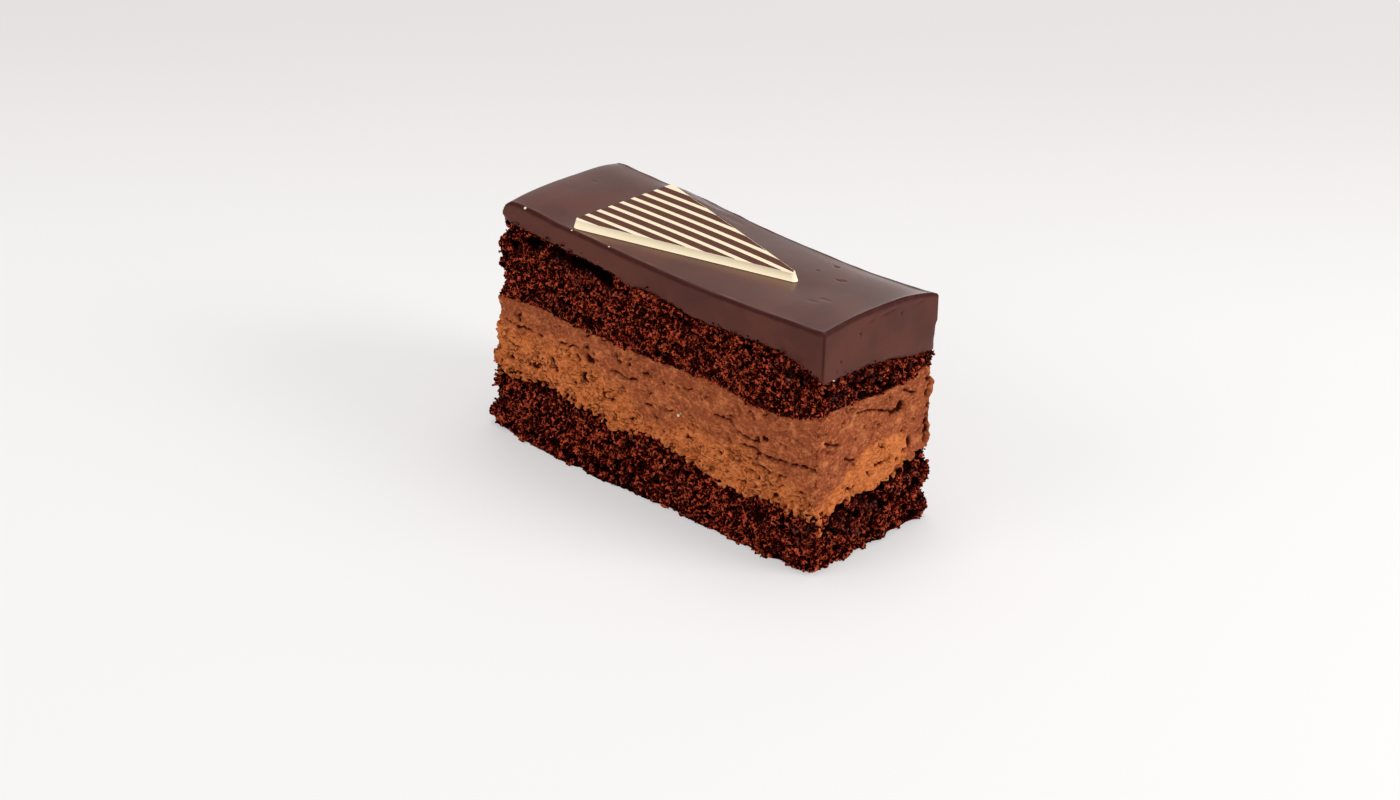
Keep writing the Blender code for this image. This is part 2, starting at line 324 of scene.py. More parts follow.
def ramp_of(tree, value, stops):
    node = tree.nodes.new("ShaderNodeValToRGB")
    elements = node.color_ramp.elements
    while len(elements) < len(stops):
        elements.new(0.5)
    for element, (place, colour) in zip(elements, stops):
        element.position = place
        element.color = (*colour, 1.0)
    plug(tree, node.inputs["Fac"], value)
    return node.outputs["Color"]


def mix_of(tree, share, first, second):
    node = tree.nodes.new("ShaderNodeMix")
    node.data_type = "RGBA"
    plug(tree, node.inputs["Factor"], share)
    plug(tree, node.inputs["A"], first)
    plug(tree, node.inputs["B"], second)
    return node.outputs["Result"]


def attribute_of(tree, name):
    node = tree.nodes.new("ShaderNodeAttribute")
    node.attribute_name = name
    return node.outputs["Fac"]


def place_of(tree):
    return tree.nodes.new("ShaderNodeTexCoord").outputs["Object"]


def bump_of(tree, height, depth):
    """A bump of this depth in millimetres."""
    node = tree.nodes.new("ShaderNodeBump")
    node.inputs["Distance"].default_value = depth * MM
    tree.links.new(height, node.inputs["Height"])
    return node.outputs["Normal"]


def new_group(name, inputs, outputs):
    """An empty shader node group with named sockets: (name, kind) each."""
    group = bpy.data.node_groups.new(name, "ShaderNodeTree")
    for direction, sockets in (("INPUT", inputs), ("OUTPUT", outputs)):
        for socket_name, kind in sockets:
            group.interface.new_socket(name=socket_name, in_out=direction, socket_type=kind)
    return group, group.nodes.new("NodeGroupInput").outputs, group.nodes.new("NodeGroupOutput").inputs


def make_patchy_group():
    """Soft patches of one colour in another, as wide as Cell in millimetres."""
    group, given, result = new_group(
        "patchy",
        (
            ("Place", "NodeSocketVector"), ("Cell", "NodeSocketFloat"), ("From", "NodeSocketFloat"),
            ("To", "NodeSocketFloat"), ("First", "NodeSocketColor"), ("Second", "NodeSocketColor"),
            ("Most", "NodeSocketFloat"),
        ),
        (("Color", "NodeSocketColor"),),
    )
    cloud = group.nodes.new("ShaderNodeTexNoise")
    cloud.inputs["Detail"].default_value = 3.0
    group.links.new(given["Place"], cloud.inputs["Vector"])
    group.links.new(math_of(group, "DIVIDE", 1 / MM, given["Cell"]), cloud.inputs["Scale"])
    share = group.nodes.new("ShaderNodeMapRange")
    share.interpolation_type = "SMOOTHSTEP"
    group.links.new(cloud.outputs["Fac"], share.inputs["Value"])
    group.links.new(given["From"], share.inputs["From Min"])
    group.links.new(given["To"], share.inputs["From Max"])
    group.links.new(given["Most"], share.inputs["To Max"])
    blend = mix_of(group, share.outputs["Result"], given["First"], given["Second"])
    group.links.new(blend, result["Color"])
    return group


def make_skin_group():
    """A fine unevenness of the surface: Cell and Depth in millimetres, laid over another normal."""
    group, given, result = new_group(
        "fine_skin",
        (
            ("Place", "NodeSocketVector"), ("Cell", "NodeSocketFloat"), ("Depth", "NodeSocketFloat"),
            ("Under", "NodeSocketVector"),
        ),
        (("Normal", "NodeSocketVector"),),
    )
    grain = group.nodes.new("ShaderNodeTexNoise")
    group.links.new(given["Place"], grain.inputs["Vector"])
    group.links.new(math_of(group, "DIVIDE", 1 / MM, given["Cell"]), grain.inputs["Scale"])
    bump = group.nodes.new("ShaderNodeBump")
    group.links.new(grain.outputs["Fac"], bump.inputs["Height"])
    group.links.new(math_of(group, "MULTIPLY", MM, given["Depth"]), bump.inputs["Distance"])
    group.links.new(given["Under"], bump.inputs["Normal"])
    group.links.new(bump.outputs["Normal"], result["Normal"])
    return group


patchy_group = make_patchy_group()
skin_group = make_skin_group()


def group_of(tree, group, **values):
    """Places a shared group in a material with the material's own values, and returns its first output."""
    node = tree.nodes.new("ShaderNodeGroup")
    node.node_tree = group
    for key, value in values.items():
        plug(tree, node.inputs[key], value)
    return node.outputs[0]


def patchy(tree, place, cell, edges, first, second, most=1.0):
    return group_of(
        tree, patchy_group, Place=place, Cell=cell, From=edges[0], To=edges[1], First=first, Second=second,
        Most=most)


def fine_skin(tree, place, cell, depth, under):
    return group_of(tree, skin_group, Place=place, Cell=cell, Depth=depth, Under=under)


def paint(tree, **values):
    """Sets or links the sockets of the material's Principled shader by their names."""
    shader = tree.nodes["Principled BSDF"]
    for key, value in values.items():
        plug(tree, shader.inputs[key.replace("_", " ")], value)


print("node groups:", patchy_group.name, "and", skin_group.name)

# %% [markdown]
# ## Places on the cut faces
#
# Marks in the cut are easiest to read off a flat view of each face: how far along the slice, and how high.
# These helpers turn points into such places, and press hollows where we name them.

# %% Places on the cut faces
# The layers' middle, from which places on the cut faces are measured, in millimetres
MIDDLE = np.array((2.72, 0.38, 0.0))
FRONT_Y = -22.35 + MIDDLE[1]
BACK_Y = 22.35 + MIDDLE[1]
NEAR_X = 57.0 + MIDDLE[0]
FAR_X = -60.5 + MIDDLE[0]
# Which way each cut face looks: its axis and its sign
FACE_WAYS = {"front": (1, -1), "back": (1, 1), "near": (0, 1), "far": (0, -1)}
# A hollow has its full depth inside the first share of its size, and is gone at the second
HOLLOW_EDGE = (0.6, 1.25)


def facing(normals, face, low=0.35, high=0.7):
    """1 on the named cut face, 0 on faces that look elsewhere."""
    axis, way = FACE_WAYS[face]
    return fade(way * normals[:, axis], low, high)


def front_place(points):
    """Places on the long front face as (x, z)."""
    return np.column_stack((points[:, 0] - MIDDLE[0], points[:, 2]))


def end_place(points):
    """Places on the near end face as (y, z)."""
    return np.column_stack((points[:, 1] - MIDDLE[1], points[:, 2]))


def line_height(line, positions):
    """Height of a line of (position, height) corners at each position."""
    corners = np.array(line, dtype=float)
    return np.interp(positions, corners[:, 0], corners[:, 1])


def distance_to_line(places, line):
    """Shortest distance of each place to a line of corners."""
    corners = np.array(line, dtype=float)
    best = np.full(len(places), 1e9)
    for start, end in zip(corners[:-1], corners[1:]):
        way = end - start
        share = np.clip(((places - start) @ way) / max(way @ way, 1e-9), 0, 1)
        gap = places - (start + share[:, None] * way)
        best = np.minimum(best, np.hypot(gap[:, 0], gap[:, 1]))
    return best


def press_holes(places, holes):
    """Depth of oval hollows, each given as (across, up, half width, half height, depth)."""
    depth = np.zeros(len(places))
    for across, up, half_width, half_height, deep in holes:
        gap = np.hypot((places[:, 0] - across) / half_width, (places[:, 1] - up) / half_height)
        depth = np.maximum(depth, deep * (1 - fade(gap, *HOLLOW_EDGE)))
    return depth


print("the slice is", NEAR_X - FAR_X, "mm long and", BACK_Y - FRONT_Y, "mm wide")

# %% [markdown]
# ## Sponge
#
# A cut sponge shows burst bubbles: hollows about a millimetre wide, with thin torn walls between them that
# stand out as ragged strands. Painting that on a flat face looks like carpet, because the light has nothing
# to catch. So the crumb is real relief. The plain solid is remeshed into small even cells, and textures
# push its cut sides in and out: lumps first, then bubbles, then strands.

# %% Fine copies of the plain solids
# In the photo the slice's back corner at the near end stands about a millimetre farther out
BACK_CORNER_PUSH = 1.4
BACK_CORNER_ACROSS = (6.0, 22.0)
BACK_CORNER_ALONG = (30.0, 58.0)
BOX_SLACK = 0.25
# How steeply a normal points up or down where a face begins to count as level, and where it fully does
LEVEL_STEEPNESS = (0.6, 0.9)


def fill_back_corner(piece):
    """Pushes the upright back corner at the near end out a little, all layers alike."""
    points = read_points(piece)
    share = fade(points[:, 1] - MIDDLE[1], *BACK_CORNER_ACROSS) * fade(points[:, 0], *BACK_CORNER_ALONG)
    points[:, 1] += BACK_CORNER_PUSH * share
    write_points(piece, points)


def kept_in_box(points):
    """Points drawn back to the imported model's box where relief or a crumb would pass it."""
    low, high = (np.array(corner) / MM for corner in cad_box)
    return np.clip(points, low - BOX_SLACK * np.array((1, 1, 0)), high + BOX_SLACK)


def fine_copy(node, name, voxel, rounds, extras=()):
    """A node's solid with small even faces, the CAD's facets smoothed away and any extras melted on."""
    piece = copy_of_node(node, name)
    if extras:
        join_pieces(piece, extras)
    apply_modifier(piece, "REMESH", mode="VOXEL", voxel_size=voxel * MM)
    apply_modifier(piece, "SMOOTH", factor=0.5, iterations=rounds)
    fill_back_corner(piece)
    print(name, "has", len(piece.data.polygons), "faces after its remesh")
    return piece


def level_share(normals):
    """1 on the level faces between layers, 0 on faces that stand upright."""
    return fade(np.abs(normals[:, 2]), *LEVEL_STEEPNESS)


def side_share(normals):
    """1 on faces that stand upright, 0 on the level faces between layers."""
    return 1 - level_share(normals)


def thin_out(piece, weights, ratio):
    """Takes most points away where the weights are 1, as between two layers, where nobody looks."""
    weigh_points(piece, "hidden", weights)
    apply_modifier(piece, "DECIMATE", ratio=ratio, vertex_group="hidden", vertex_group_factor=1.0)


print("relief may pass the model's box by", BOX_SLACK, "mm")

# %% [markdown]
# Three textures make the crumb, from coarse to fine. Each has the width of its features and the depth to
# which it pushes the surface, both in millimetres, and the grey level that leaves the surface in place. The
# strands have a negative depth, which turns the creases of their noise into thin ridges.

# %% Crumb textures
LUMPS = {"cell": 3.2, "depth": 1.0, "middle": 0.58}
BUBBLES = {"cell": 1.7, "depth": 2.5, "middle": 0.68}
STRANDS = {"cell": 1.25, "depth": -2.2, "middle": 0.43}


def make_texture(name, kind, cell, **settings):
    texture = bpy.data.textures.new(name, kind)
    texture.noise_scale = cell * MM
    for key, value in settings.items():
        setattr(texture, key, value)
    return texture


crumb_layers = (
    (make_texture("lumps", "CLOUDS", LUMPS["cell"], noise_depth=1), LUMPS),
    (make_texture("bubbles", "VORONOI", BUBBLES["cell"], distance_metric="DISTANCE"), BUBBLES),
    (make_texture("strands", "CLOUDS", STRANDS["cell"], noise_depth=1, noise_type="HARD_NOISE"), STRANDS),
)
print("crumb textures:", [texture.name for texture, _ in crumb_layers])

# %% [markdown]
# The colour of the crumb follows its relief, with light and shade painted in: nearly black in the pits as
# painted shade, red-brown on the strands, and lighter on their torn tips as a painted highlight. A fine
# wriggling noise adds strands that are thinner than the mesh can carry, with painted shade between them.
# Where glaze or mousse has soaked in, the crumb is darker and wet, so it glints grey.

# %% Sponge material
# Colours of the relief: the pit colour is painted shade, and the light colour is a painted highlight on the
# high tips
PIT_SHADE = (0.004, 0.0002, 0.0001)
CRUMB_DARK = (0.03, 0.0008, 0.0003)
CRUMB_COLOUR = (0.185, 0.0085, 0.003)
CRUMB_TIP_HIGHLIGHT = (0.7, 0.112, 0.044)
SOAKED_COLOUR = (0.02, 0.003, 0.0025)


def crumb_material():
    tree, made = new_material("sponge_crumb")
    place = place_of(tree)
    # Strands run where the wriggling noise passes through its middle
    fine = noise_of(tree, warped(tree, place, 2.2, 1.9), 1.45, 2.0)
    strand = math_of(tree, "ABSOLUTE", math_of(tree, "SUBTRACT", fine, 0.5))
    strand = range_of(tree, strand, 0.0, 0.11, 1.0, 0.0)
    relief = range_of(tree, attribute_of(tree, "height"), -1.6, 0.75)
    share = math_of(tree, "MULTIPLY", relief, range_of(tree, strand, 0.0, 1.0, 0.25, 1.0))
    # Painted shade and highlight: near black low in the pits and between strands, lighter on the high tips
    colour = ramp_of(
        tree, share, ((0.13, PIT_SHADE), (0.34, CRUMB_DARK), (0.58, CRUMB_COLOUR), (0.9, CRUMB_TIP_HIGHLIGHT)))
    colour = patchy(tree, place, 4.0, (0.45, 0.75), colour, (*CRUMB_DARK, 1), 0.3)
    soaked = attribute_of(tree, "soaked")
    colour = mix_of(tree, math_of(tree, "MULTIPLY", soaked, 0.8), colour, (*SOAKED_COLOUR, 1))
    # Small wet spots glint, most of all on high and soaked crumb
    glint = range_of(tree, noise_of(tree, place, 1.0, 2.0), 0.54, 0.66)
    wet = math_of(tree, "MULTIPLY", glint, relief)
    wet = math_of(tree, "MULTIPLY", wet, range_of(tree, soaked, 0.0, 1.0, 0.2, 1.0))
    paint(
        tree,
        Base_Color=colour,
        Roughness=range_of(tree, relief, 0.2, 0.9, 0.95, 0.6),
        Specular_IOR_Level=0.015,
        Coat_Weight=wet,
        Coat_Roughness=0.25,
        Normal=fine_skin(tree, place, 0.5, 0.06, bump_of(tree, strand, 0.45)),
    )
    return made


sponge_finish = crumb_material()
print("material:", sponge_finish.name)

# %% [markdown]
# The border under the glaze isn't tight everywhere: the sponge has shrunk away from it in a few dark gaps,
# and under the mousse it is cut back a little, so that the mousse hangs over it with a shadow.

# %% Gaps and soaked patches of the sponge
# Ovals, as in every list of hollows here: (across, up, half width, half height, depth or strength)
SPONGE_GAPS = (
    (-29.5, 61.5, 10.5, 2.1, 4.6), (-21.0, 59.8, 3.6, 1.9, 3.8), (-47.0, 61.4, 4.2, 1.6, 3.2),
    (-38.0, 62.0, 2.5, 0.9, 1.8), (-12.0, 58.8, 1.8, 0.9, 1.4), (8.0, 57.9, 2.2, 0.8, 1.2),
    (30.0, 58.6, 2.6, 0.8, 1.2), (49.0, 57.6, 2.0, 1.0, 1.4), (-56.0, 58.0, 2.4, 1.4, 1.6),
)
SOAKED_FRONT = (
    (-40.0, 59.0, 8.0, 2.2, 0.8), (-24.0, 57.0, 9.0, 2.0, 0.7), (46.0, 57.5, 6.0, 2.5, 0.8),
    (52.0, 12.0, 5.0, 6.0, 0.7), (10.0, 58.0, 6.0, 1.6, 0.5),
)
SOAKED_END = ((-6.0, 11.0, 13.0, 7.0, 0.65), (15.0, 14.0, 7.0, 5.0, 0.45), (0.0, 52.0, 26.0, 7.0, 0.65))
# The near end is the crumbliest: gaps between clumps of crumb
CLUMP_CELL = 2.6
CLUMP_GAP = 1.15
UNDERCUT_REACH = 2.6
UNDERCUT_DEPTH = 1.1


def sponge_marks(points, normals):
    """How far gaps cut into the sponge, and how soaked it is, from 0 to 1."""
    front = facing(normals, "front")
    near = facing(normals, "near")
    wander = 1.3 * np.column_stack((noise_at(points, 1.7, 2.0), noise_at(points, 1.7, 6.0)))
    gaps = press_holes(front_place(points) + wander, SPONGE_GAPS) * front
    soaked = press_holes(front_place(points) + 2 * wander, SOAKED_FRONT) * front
    soaked = np.maximum(soaked, press_holes(end_place(points) + 2 * wander, SOAKED_END) * near)
    soaked *= fade(noise_at(points, 3.0, 8.0), -0.35, 0.25)
    return gaps, soaked


print("gaps:", len(SPONGE_GAPS), "and soaked patches:", len(SOAKED_FRONT) + len(SOAKED_END))

# %% [markdown]
# Both sponges come out of one function. A Displace modifier pushes the cut sides along their normals, and a
# vertex group keeps it off the faces between the layers. The gaps are then pressed in point by point. How
# far each point rose or sank is stored on it, because the material colours the crumb by that number. At the
# end the faces that nobody sees are thinned out, which keeps the piece light.

# %% Sponge pieces
SPONGE_VOXEL = 0.33
SPONGE_ROUNDS = 6
SPONGE_KEPT = 0.5
# A gap looks deeper than it is, because little light finds its way out
GAP_SHADE = 1.2
# Upper and lower borders are read from the highest points of columns this wide
COLUMN_WIDTH = 1.5


def smooth_top(points):
    """Height of the layer's upper border above each point, from the highest points near it."""
    columns = np.round(points[:, :2] / COLUMN_WIDTH).astype(int)
    _, numbers = np.unique(columns, axis=0, return_inverse=True)
    numbers = numbers.ravel()
    highest = np.full(numbers.max() + 1, -1e9)
    np.maximum.at(highest, numbers, points[:, 2])
    return highest[numbers]


def press_textures(piece, layers):
    """Displaces the cut sides; returns the points and normals from before, and how far each point rose."""
    smooth_points = read_points(piece)
    normals = read_normals(piece)
    weigh_points(piece, "cut_side", side_share(normals))
    for texture, layer in layers:
        apply_modifier(
            piece, "DISPLACE", texture=texture, texture_coords="LOCAL", strength=layer["depth"] * MM,
            mid_level=layer["middle"], vertex_group="cut_side",
        )
    moved = read_points(piece) - smooth_points
    return smooth_points, normals, (moved * normals).sum(axis=1)


def make_sponge(node, undercut, material):
    piece = fine_copy(node, node + "_crumb", SPONGE_VOXEL, SPONGE_ROUNDS)
    smooth_points, normals, height = press_textures(piece, crumb_layers)
    gaps, soaked = sponge_marks(smooth_points, normals)
    if undercut:
        below_top = smooth_top(smooth_points) - smooth_points[:, 2]
        ragged = 0.55 + 0.45 * noise_at(smooth_points, 5.0, 11.0)
        gaps = np.maximum(gaps, UNDERCUT_DEPTH * ragged * (1 - fade(below_top, 0.3, UNDERCUT_REACH)))
    clumps = fade(noise_at(smooth_points, CLUMP_CELL, 15.0), 0.0, 0.45) * facing(normals, "near")
    gaps = np.maximum(gaps, CLUMP_GAP * clumps) * side_share(normals)
    write_points(piece, kept_in_box(read_points(piece) - normals * gaps[:, None]))
    write_mask(piece, "height", height - GAP_SHADE * gaps)
    write_mask(piece, "soaked", soaked)
    spread = np.percentile(height[side_share(normals) > 0.9], (2, 25, 50, 75, 98))
    thin_out(piece, level_share(normals), SPONGE_KEPT)
    print(node, "height", spread.round(2), "mm,", len(piece.data.polygons), "faces")
    finish_piece(piece, node, material)
    return piece


sponge_bottom = make_sponge("sponge_bottom", True, sponge_finish)
sponge_top = make_sponge("sponge_top", False, sponge_finish)

# %% [markdown]
# Small grains stand loose on the cut. One grain is a ball of twenty flat faces. It is copied a few thousand
# times onto the higher points of the crumb, each copy turned, stretched and half sunk, and its flat faces
# catch the light one by one, as real crumbs do.

# %% Loose grains
GRAIN_COUNT = 5600
GRAIN_SIZE = (0.19, 0.48)
GRAIN_STRETCH = (1.0, 2.1)
# Each half width, and each corner, is drawn longer or shorter by its own share
GRAIN_SQUEEZE = (0.55, 1.2)
GRAIN_KNOCK = (0.8, 1.2)
GRAIN_LIFT = 0.05
GRAIN_LOWEST = -0.5
# Grains sit where the normal points up or down by less than this
GRAIN_STEEPNESS = 0.8
# Extra grains near the upper border: their share, how far under it they start, and how far they move
# out and up
BORDER_SHARE = 0.18
BORDER_WIDTH = 1.2
BORDER_LIFT = 0.25
BORDER_RAISE = 1.6
# Near the far end the glaze falls away round its corners, so no grain is moved up there
NO_RAISE_FROM_FAR_END = (3.0, 7.0)


def grain_mesh():
    bpy.ops.object.select_all(action="DESELECT")
    bpy.ops.mesh.primitive_ico_sphere_add(subdivisions=1, radius=1.0)
    grain = bpy.context.object
    corners = np.array([vert.co for vert in grain.data.vertices])
    faces = np.array([face.vertices for face in grain.data.polygons])
    bpy.data.objects.remove(grain)
    return corners, faces


def random_turns(dice, count):
    """Turning matrices that point every way equally often."""
    turns = np.empty((count, 3, 3))
    for number in range(count):
        axis = Vector(dice.normal(size=3))
        turns[number] = Matrix.Rotation(dice.uniform(0, 2 * math.pi), 3, axis.normalized())
    return turns


def grain_spots(source, count, climbs, dice):
    """Where grains sit on a sponge: their places, ways out, heights and wetness, one row for each."""
    points, normals = read_points(source), read_normals(source)
    height, soaked = read_mask(source, "height"), read_mask(source, "soaked")
    upright = np.abs(normals[:, 2]) < GRAIN_STEEPNESS
    chosen = dice.choice(np.nonzero(upright & (height > GRAIN_LOWEST))[0], count, replace=False)
    # Some grains from just under the upper border are moved up, so that the border isn't a clean line
    below_top = smooth_top(points) - points[:, 2]
    border = np.nonzero(upright & (below_top < BORDER_WIDTH))[0]
    moved = dice.choice(border, int(BORDER_SHARE * count), replace=False)
    raised = points[moved] + BORDER_LIFT * normals[moved]
    if climbs:
        from_far_end = fade(raised[:, 0] - FAR_X, *NO_RAISE_FROM_FAR_END)
        raised[:, 2] += dice.uniform(0, BORDER_RAISE, len(moved)) * from_far_end
    places = np.concatenate((points[chosen], raised))
    chosen = np.concatenate((chosen, moved))
    return places, normals[chosen], height[chosen], soaked[chosen]


def way_past_box(shapes):
    """How far each grain reaches past the model's box, along each axis."""
    past = shapes - kept_in_box(shapes)
    most, least = past.max(axis=1), past.min(axis=1)
    return np.where(np.abs(most) > np.abs(least), most, least)


def grain_shapes(corners, places, outward, dice):
    """The corner points of every grain, turned, stretched and set half into the crumb."""
    count = len(places)
    sizes = dice.uniform(*GRAIN_SIZE, (count, 1)) * dice.uniform(*GRAIN_SQUEEZE, (count, 3))
    sizes[:, 0] *= dice.uniform(*GRAIN_STRETCH, count)
    turns = random_turns(dice, count)
    shapes = corners[None] * sizes[:, None, :] * dice.uniform(*GRAIN_KNOCK, (count, len(corners), 1))
    shapes = np.einsum("nij,nkj->nki", turns, shapes) + (places + GRAIN_LIFT * outward)[:, None, :]
    return shapes - way_past_box(shapes)[:, None, :]


def scatter_grains(name, sources, dice):
    """One piece of many grains on the cut sides of the sponges; only those of the last one climb."""
    share = GRAIN_COUNT // len(sources)
    spots = [grain_spots(source, share, source is sources[-1], dice) for source in sources]
    places, outward, heights, wetness = (np.concatenate(part) for part in zip(*spots))
    corners, faces = grain_mesh()
    shapes = grain_shapes(corners, places, outward, dice)
    first_corners = (np.arange(len(places)) * len(corners))[:, None, None]
    all_faces = (faces[None] + first_corners).reshape(-1, 3)
    mesh = bpy.data.meshes.new(name)
    mesh.from_pydata((shapes.reshape(-1, 3) * MM).tolist(), [], all_faces.tolist())
    piece = bpy.data.objects.new(name, mesh)
    bpy.context.scene.collection.objects.link(piece)
    # Half of this is the height of the crumb under the grain, which the material turns into painted shade and
    # highlight; the rest is random tone
    tone_and_shade = heights * 0.5 + dice.uniform(-0.9, 0.9, len(places))
    write_mask(piece, "height", np.repeat(tone_and_shade, len(corners)))
    write_mask(piece, "soaked", np.repeat(wetness, len(corners)))
    print("grains:", len(places), "of", len(faces), "faces each")
    return piece


grains = scatter_grains("sponge_grains", (sponge_bottom, sponge_top), np.random.default_rng(12))
finish_piece(grains, None, sponge_finish)
grains.data.shade_flat()

# %% [markdown]
# ## Mousse
#
# The mousse is whipped, so its cut is matte and torn. Its upper part is dense and reddish, and its lower
# part is airy and tan, full of tiny pits. The knife left cracks that run along it and a few holes where a
# bubble burst. Cracks and holes sit where the photo has them, because these are what the eye checks.
# The lower edge sags over the sponge in drips: small lumps melted on by the remesh.

# %% Tears and holes seen in the cut
FRONT_CRACKS = (
    ((-58, 34), (-53, 33.2), (-50, 33.9), (-47, 33.5)),
    ((-37, 34.5), (-33.5, 34.4), (-32, 35.4), (-30, 35.3)),
    ((-17, 33.3), (-14, 33.9), (-12, 33), (-8, 34)),
    ((-6, 36.8), (-4, 37.3), (-2, 36.8)),
    ((20, 34), (25, 34.5), (28, 33.2), (32, 32), (36, 32.3)),
    ((30, 29.5), (34, 29.8), (40, 29), (47, 30), (50, 31), (56, 31.5)),
    ((32, 26.5), (37, 25.3), (40, 25)),
    ((43, 25), (46, 25.5)),
    ((-20, 26), (-20.6, 25), (-19.5, 24)),
    ((-16, 38.5), (-15.2, 37.4), (-13.5, 37)),
)
# Holes are ovals: (across, up, half width, half height, depth)
FRONT_HOLES = (
    (-39.4, 27.8, 0.8, 1.3, 2.0), (-38.2, 26.0, 0.7, 1.3, 1.8), (-27.6, 27.5, 1.0, 1.3, 2.4),
    (-26.4, 26.6, 0.7, 0.6, 1.2), (-25.5, 33.4, 1.6, 1.2, 2.4), (-26.9, 36.6, 0.9, 0.6, 1.2),
    (-24.2, 35.8, 0.6, 0.8, 1.2), (-22.9, 34.4, 0.5, 0.5, 1.0), (-46.5, 23.5, 1.6, 1.0, 1.8),
    (-44.2, 24.7, 0.9, 0.6, 1.2), (-48.9, 22.9, 0.7, 0.7, 1.2), (2.0, 37.0, 0.7, 0.5, 1.0),
    (4.6, 37.5, 0.5, 0.4, 0.8), (7.0, 37.4, 0.8, 0.5, 1.0), (38.0, 34.0, 1.3, 0.8, 1.6),
    (35.5, 33.2, 0.8, 0.6, 1.1), (12.0, 28.0, 0.7, 0.5, 1.0), (23.0, 24.0, 0.9, 0.5, 1.2),
    (37.0, 22.0, 0.8, 0.6, 1.1), (-13.0, 29.5, 0.8, 0.5, 1.0), (-31.0, 24.0, 0.8, 0.6, 1.1),
    (-54.5, 27.0, 0.9, 0.6, 1.2), (49.0, 38.0, 0.6, 0.4, 0.9), (17.0, 38.5, 0.5, 0.4, 0.8),
)
END_CRACKS = (
    ((-6, 42.2), (-3, 42.0), (0, 41.3), (4, 39.5), (7, 38.3)),
    ((13, 42.5), (15.5, 40.8), (17.5, 40)),
    ((-19, 38.5), (-16, 37), (-13, 35.5)),
    ((-10, 30.5), (-8, 29), (-6, 28.5)),
    ((-11, 45.5), (-10, 44.5)),
    ((1.5, 24), (5, 23.6), (9, 24)),
    ((-9, 21), (-7.5, 20.4), (-6, 20.5)),
)
END_HOLES = (
    (8.6, 37.4, 1.7, 0.8, 2.2), (11.4, 38.0, 1.5, 1.5, 3.0), (15.3, 26.0, 1.0, 1.7, 2.0),
    (10.4, 22.6, 0.9, 0.7, 1.2), (10.8, 20.2, 0.8, 0.7, 1.2), (12.9, 30.2, 0.5, 0.6, 1.2),
    (-18.0, 47.0, 0.6, 0.4, 0.9), (7.0, 42.0, 0.7, 0.5, 1.0), (-2.5, 37.0, 0.5, 0.8, 1.0),
    (3.0, 35.7, 0.7, 0.5, 1.0), (-6.0, 34.8, 0.7, 0.4, 1.0), (-20.0, 37.0, 0.8, 0.6, 1.1),
    (-17.6, 35.4, 0.8, 0.6, 1.2), (-15.5, 34.4, 0.6, 0.5, 1.0), (-13.2, 36.2, 0.5, 0.5, 1.0),
)
CRACK_WIDTH = 0.6
SMALL_CRACK_WIDTH = 0.44
CRACK_DEPTH = 1.2
LIP_HEIGHT = 0.22
LIP_DISTANCE = 0.85
LIP_WIDTH = 0.35
# The upright corners of the near end are torn: where each stands, the step between its hollows, and their
# smallest size, largest size and depth
TORN_CORNERS = ((-21.9, 1.5, (0.3, 0.7, 1.2)), (22.6, 2.4, (0.7, 1.4, 2.2)))
TORN_CORNER_HEIGHTS = (21, 48)


def corner_hollows(dice):
    """Hollows of random size up the two upright corners of the near end."""
    holes = []
    for across, step, (smallest, largest, deepest) in TORN_CORNERS:
        up, highest = TORN_CORNER_HEIGHTS
        while up < highest:
            half_width, half_height = dice.uniform(smallest, largest), dice.uniform(smallest, largest)
            deep = deepest * dice.uniform(0.4, 1.0)
            holes.append((across + dice.uniform(-0.6, 0.6), up, half_width, half_height, deep))
            up += step * dice.uniform(0.6, 1.8)
    return tuple(holes)


def press_cracks(places, cracks, width=CRACK_WIDTH):
    """Depth of cracks at each place, less a small lip that the knife raised beside them."""
    depth = np.zeros(len(places))
    for line in cracks:
        corners = np.array(line)
        low, high = corners.min(axis=0) - 2, corners.max(axis=0) + 2
        near = np.nonzero(((places > low) & (places < high)).all(axis=1))[0]
        gap = distance_to_line(places[near], line)
        cut = CRACK_DEPTH * (1 - fade(gap, 0.1, width))
        lip = LIP_HEIGHT * np.exp(-(((gap - LIP_DISTANCE) / LIP_WIDTH) ** 2))
        depth[near] = np.where(cut > 0.02, np.maximum(depth[near], cut), depth[near] - lip)
    return depth


print("cracks:", len(FRONT_CRACKS) + len(END_CRACKS), "and holes:", len(FRONT_HOLES) + len(END_HOLES))

# %% [markdown]
# Between those marks lie many fine cracks that nobody would miss one by one. Their places are drawn at
# random from a fixed seed, so that they come out the same each time. They run nearly level, because the
# knife dragged the mousse along the slice.

# %% Small cracks everywhere
# How many there are on each face, and their field: (left, right, low, high)
SMALL_CRACKS = {
    "front": (30, (-58, 56, 20, 41)), "back": (30, (-58, 56, 20, 41)),
    "near": (12, (-21, 21, 22, 46)), "far": (12, (-21, 21, 20, 40)),
}


def small_cracks(dice, count, left, right, low, high):
    """Short wandering lines at random places of a face."""
    lines = []
    for _ in range(count):
        place = Vector((dice.uniform(left, right), dice.uniform(low, high)))
        heading = dice.gauss(0, 0.45)
        line = [tuple(place)]
        for _ in range(dice.randint(1, 4)):
            heading += dice.gauss(0, 0.5)
            place = place + Vector((math.cos(heading), math.sin(heading))) * dice.uniform(0.4, 1.1)
            line.append(tuple(place))
        lines.append(tuple(line))
    return lines


print("small cracks:", {face: count for face, (count, _) in SMALL_CRACKS.items()})

# %% [markdown]
# The dense upper mousse turns into the airy lower one over a soft border that wanders. Its height is read
# off the photo along the front and the near end, and a little noise moves it up and down. One number on
# each point then says how airy the mousse is there, which both its relief and its colour follow.

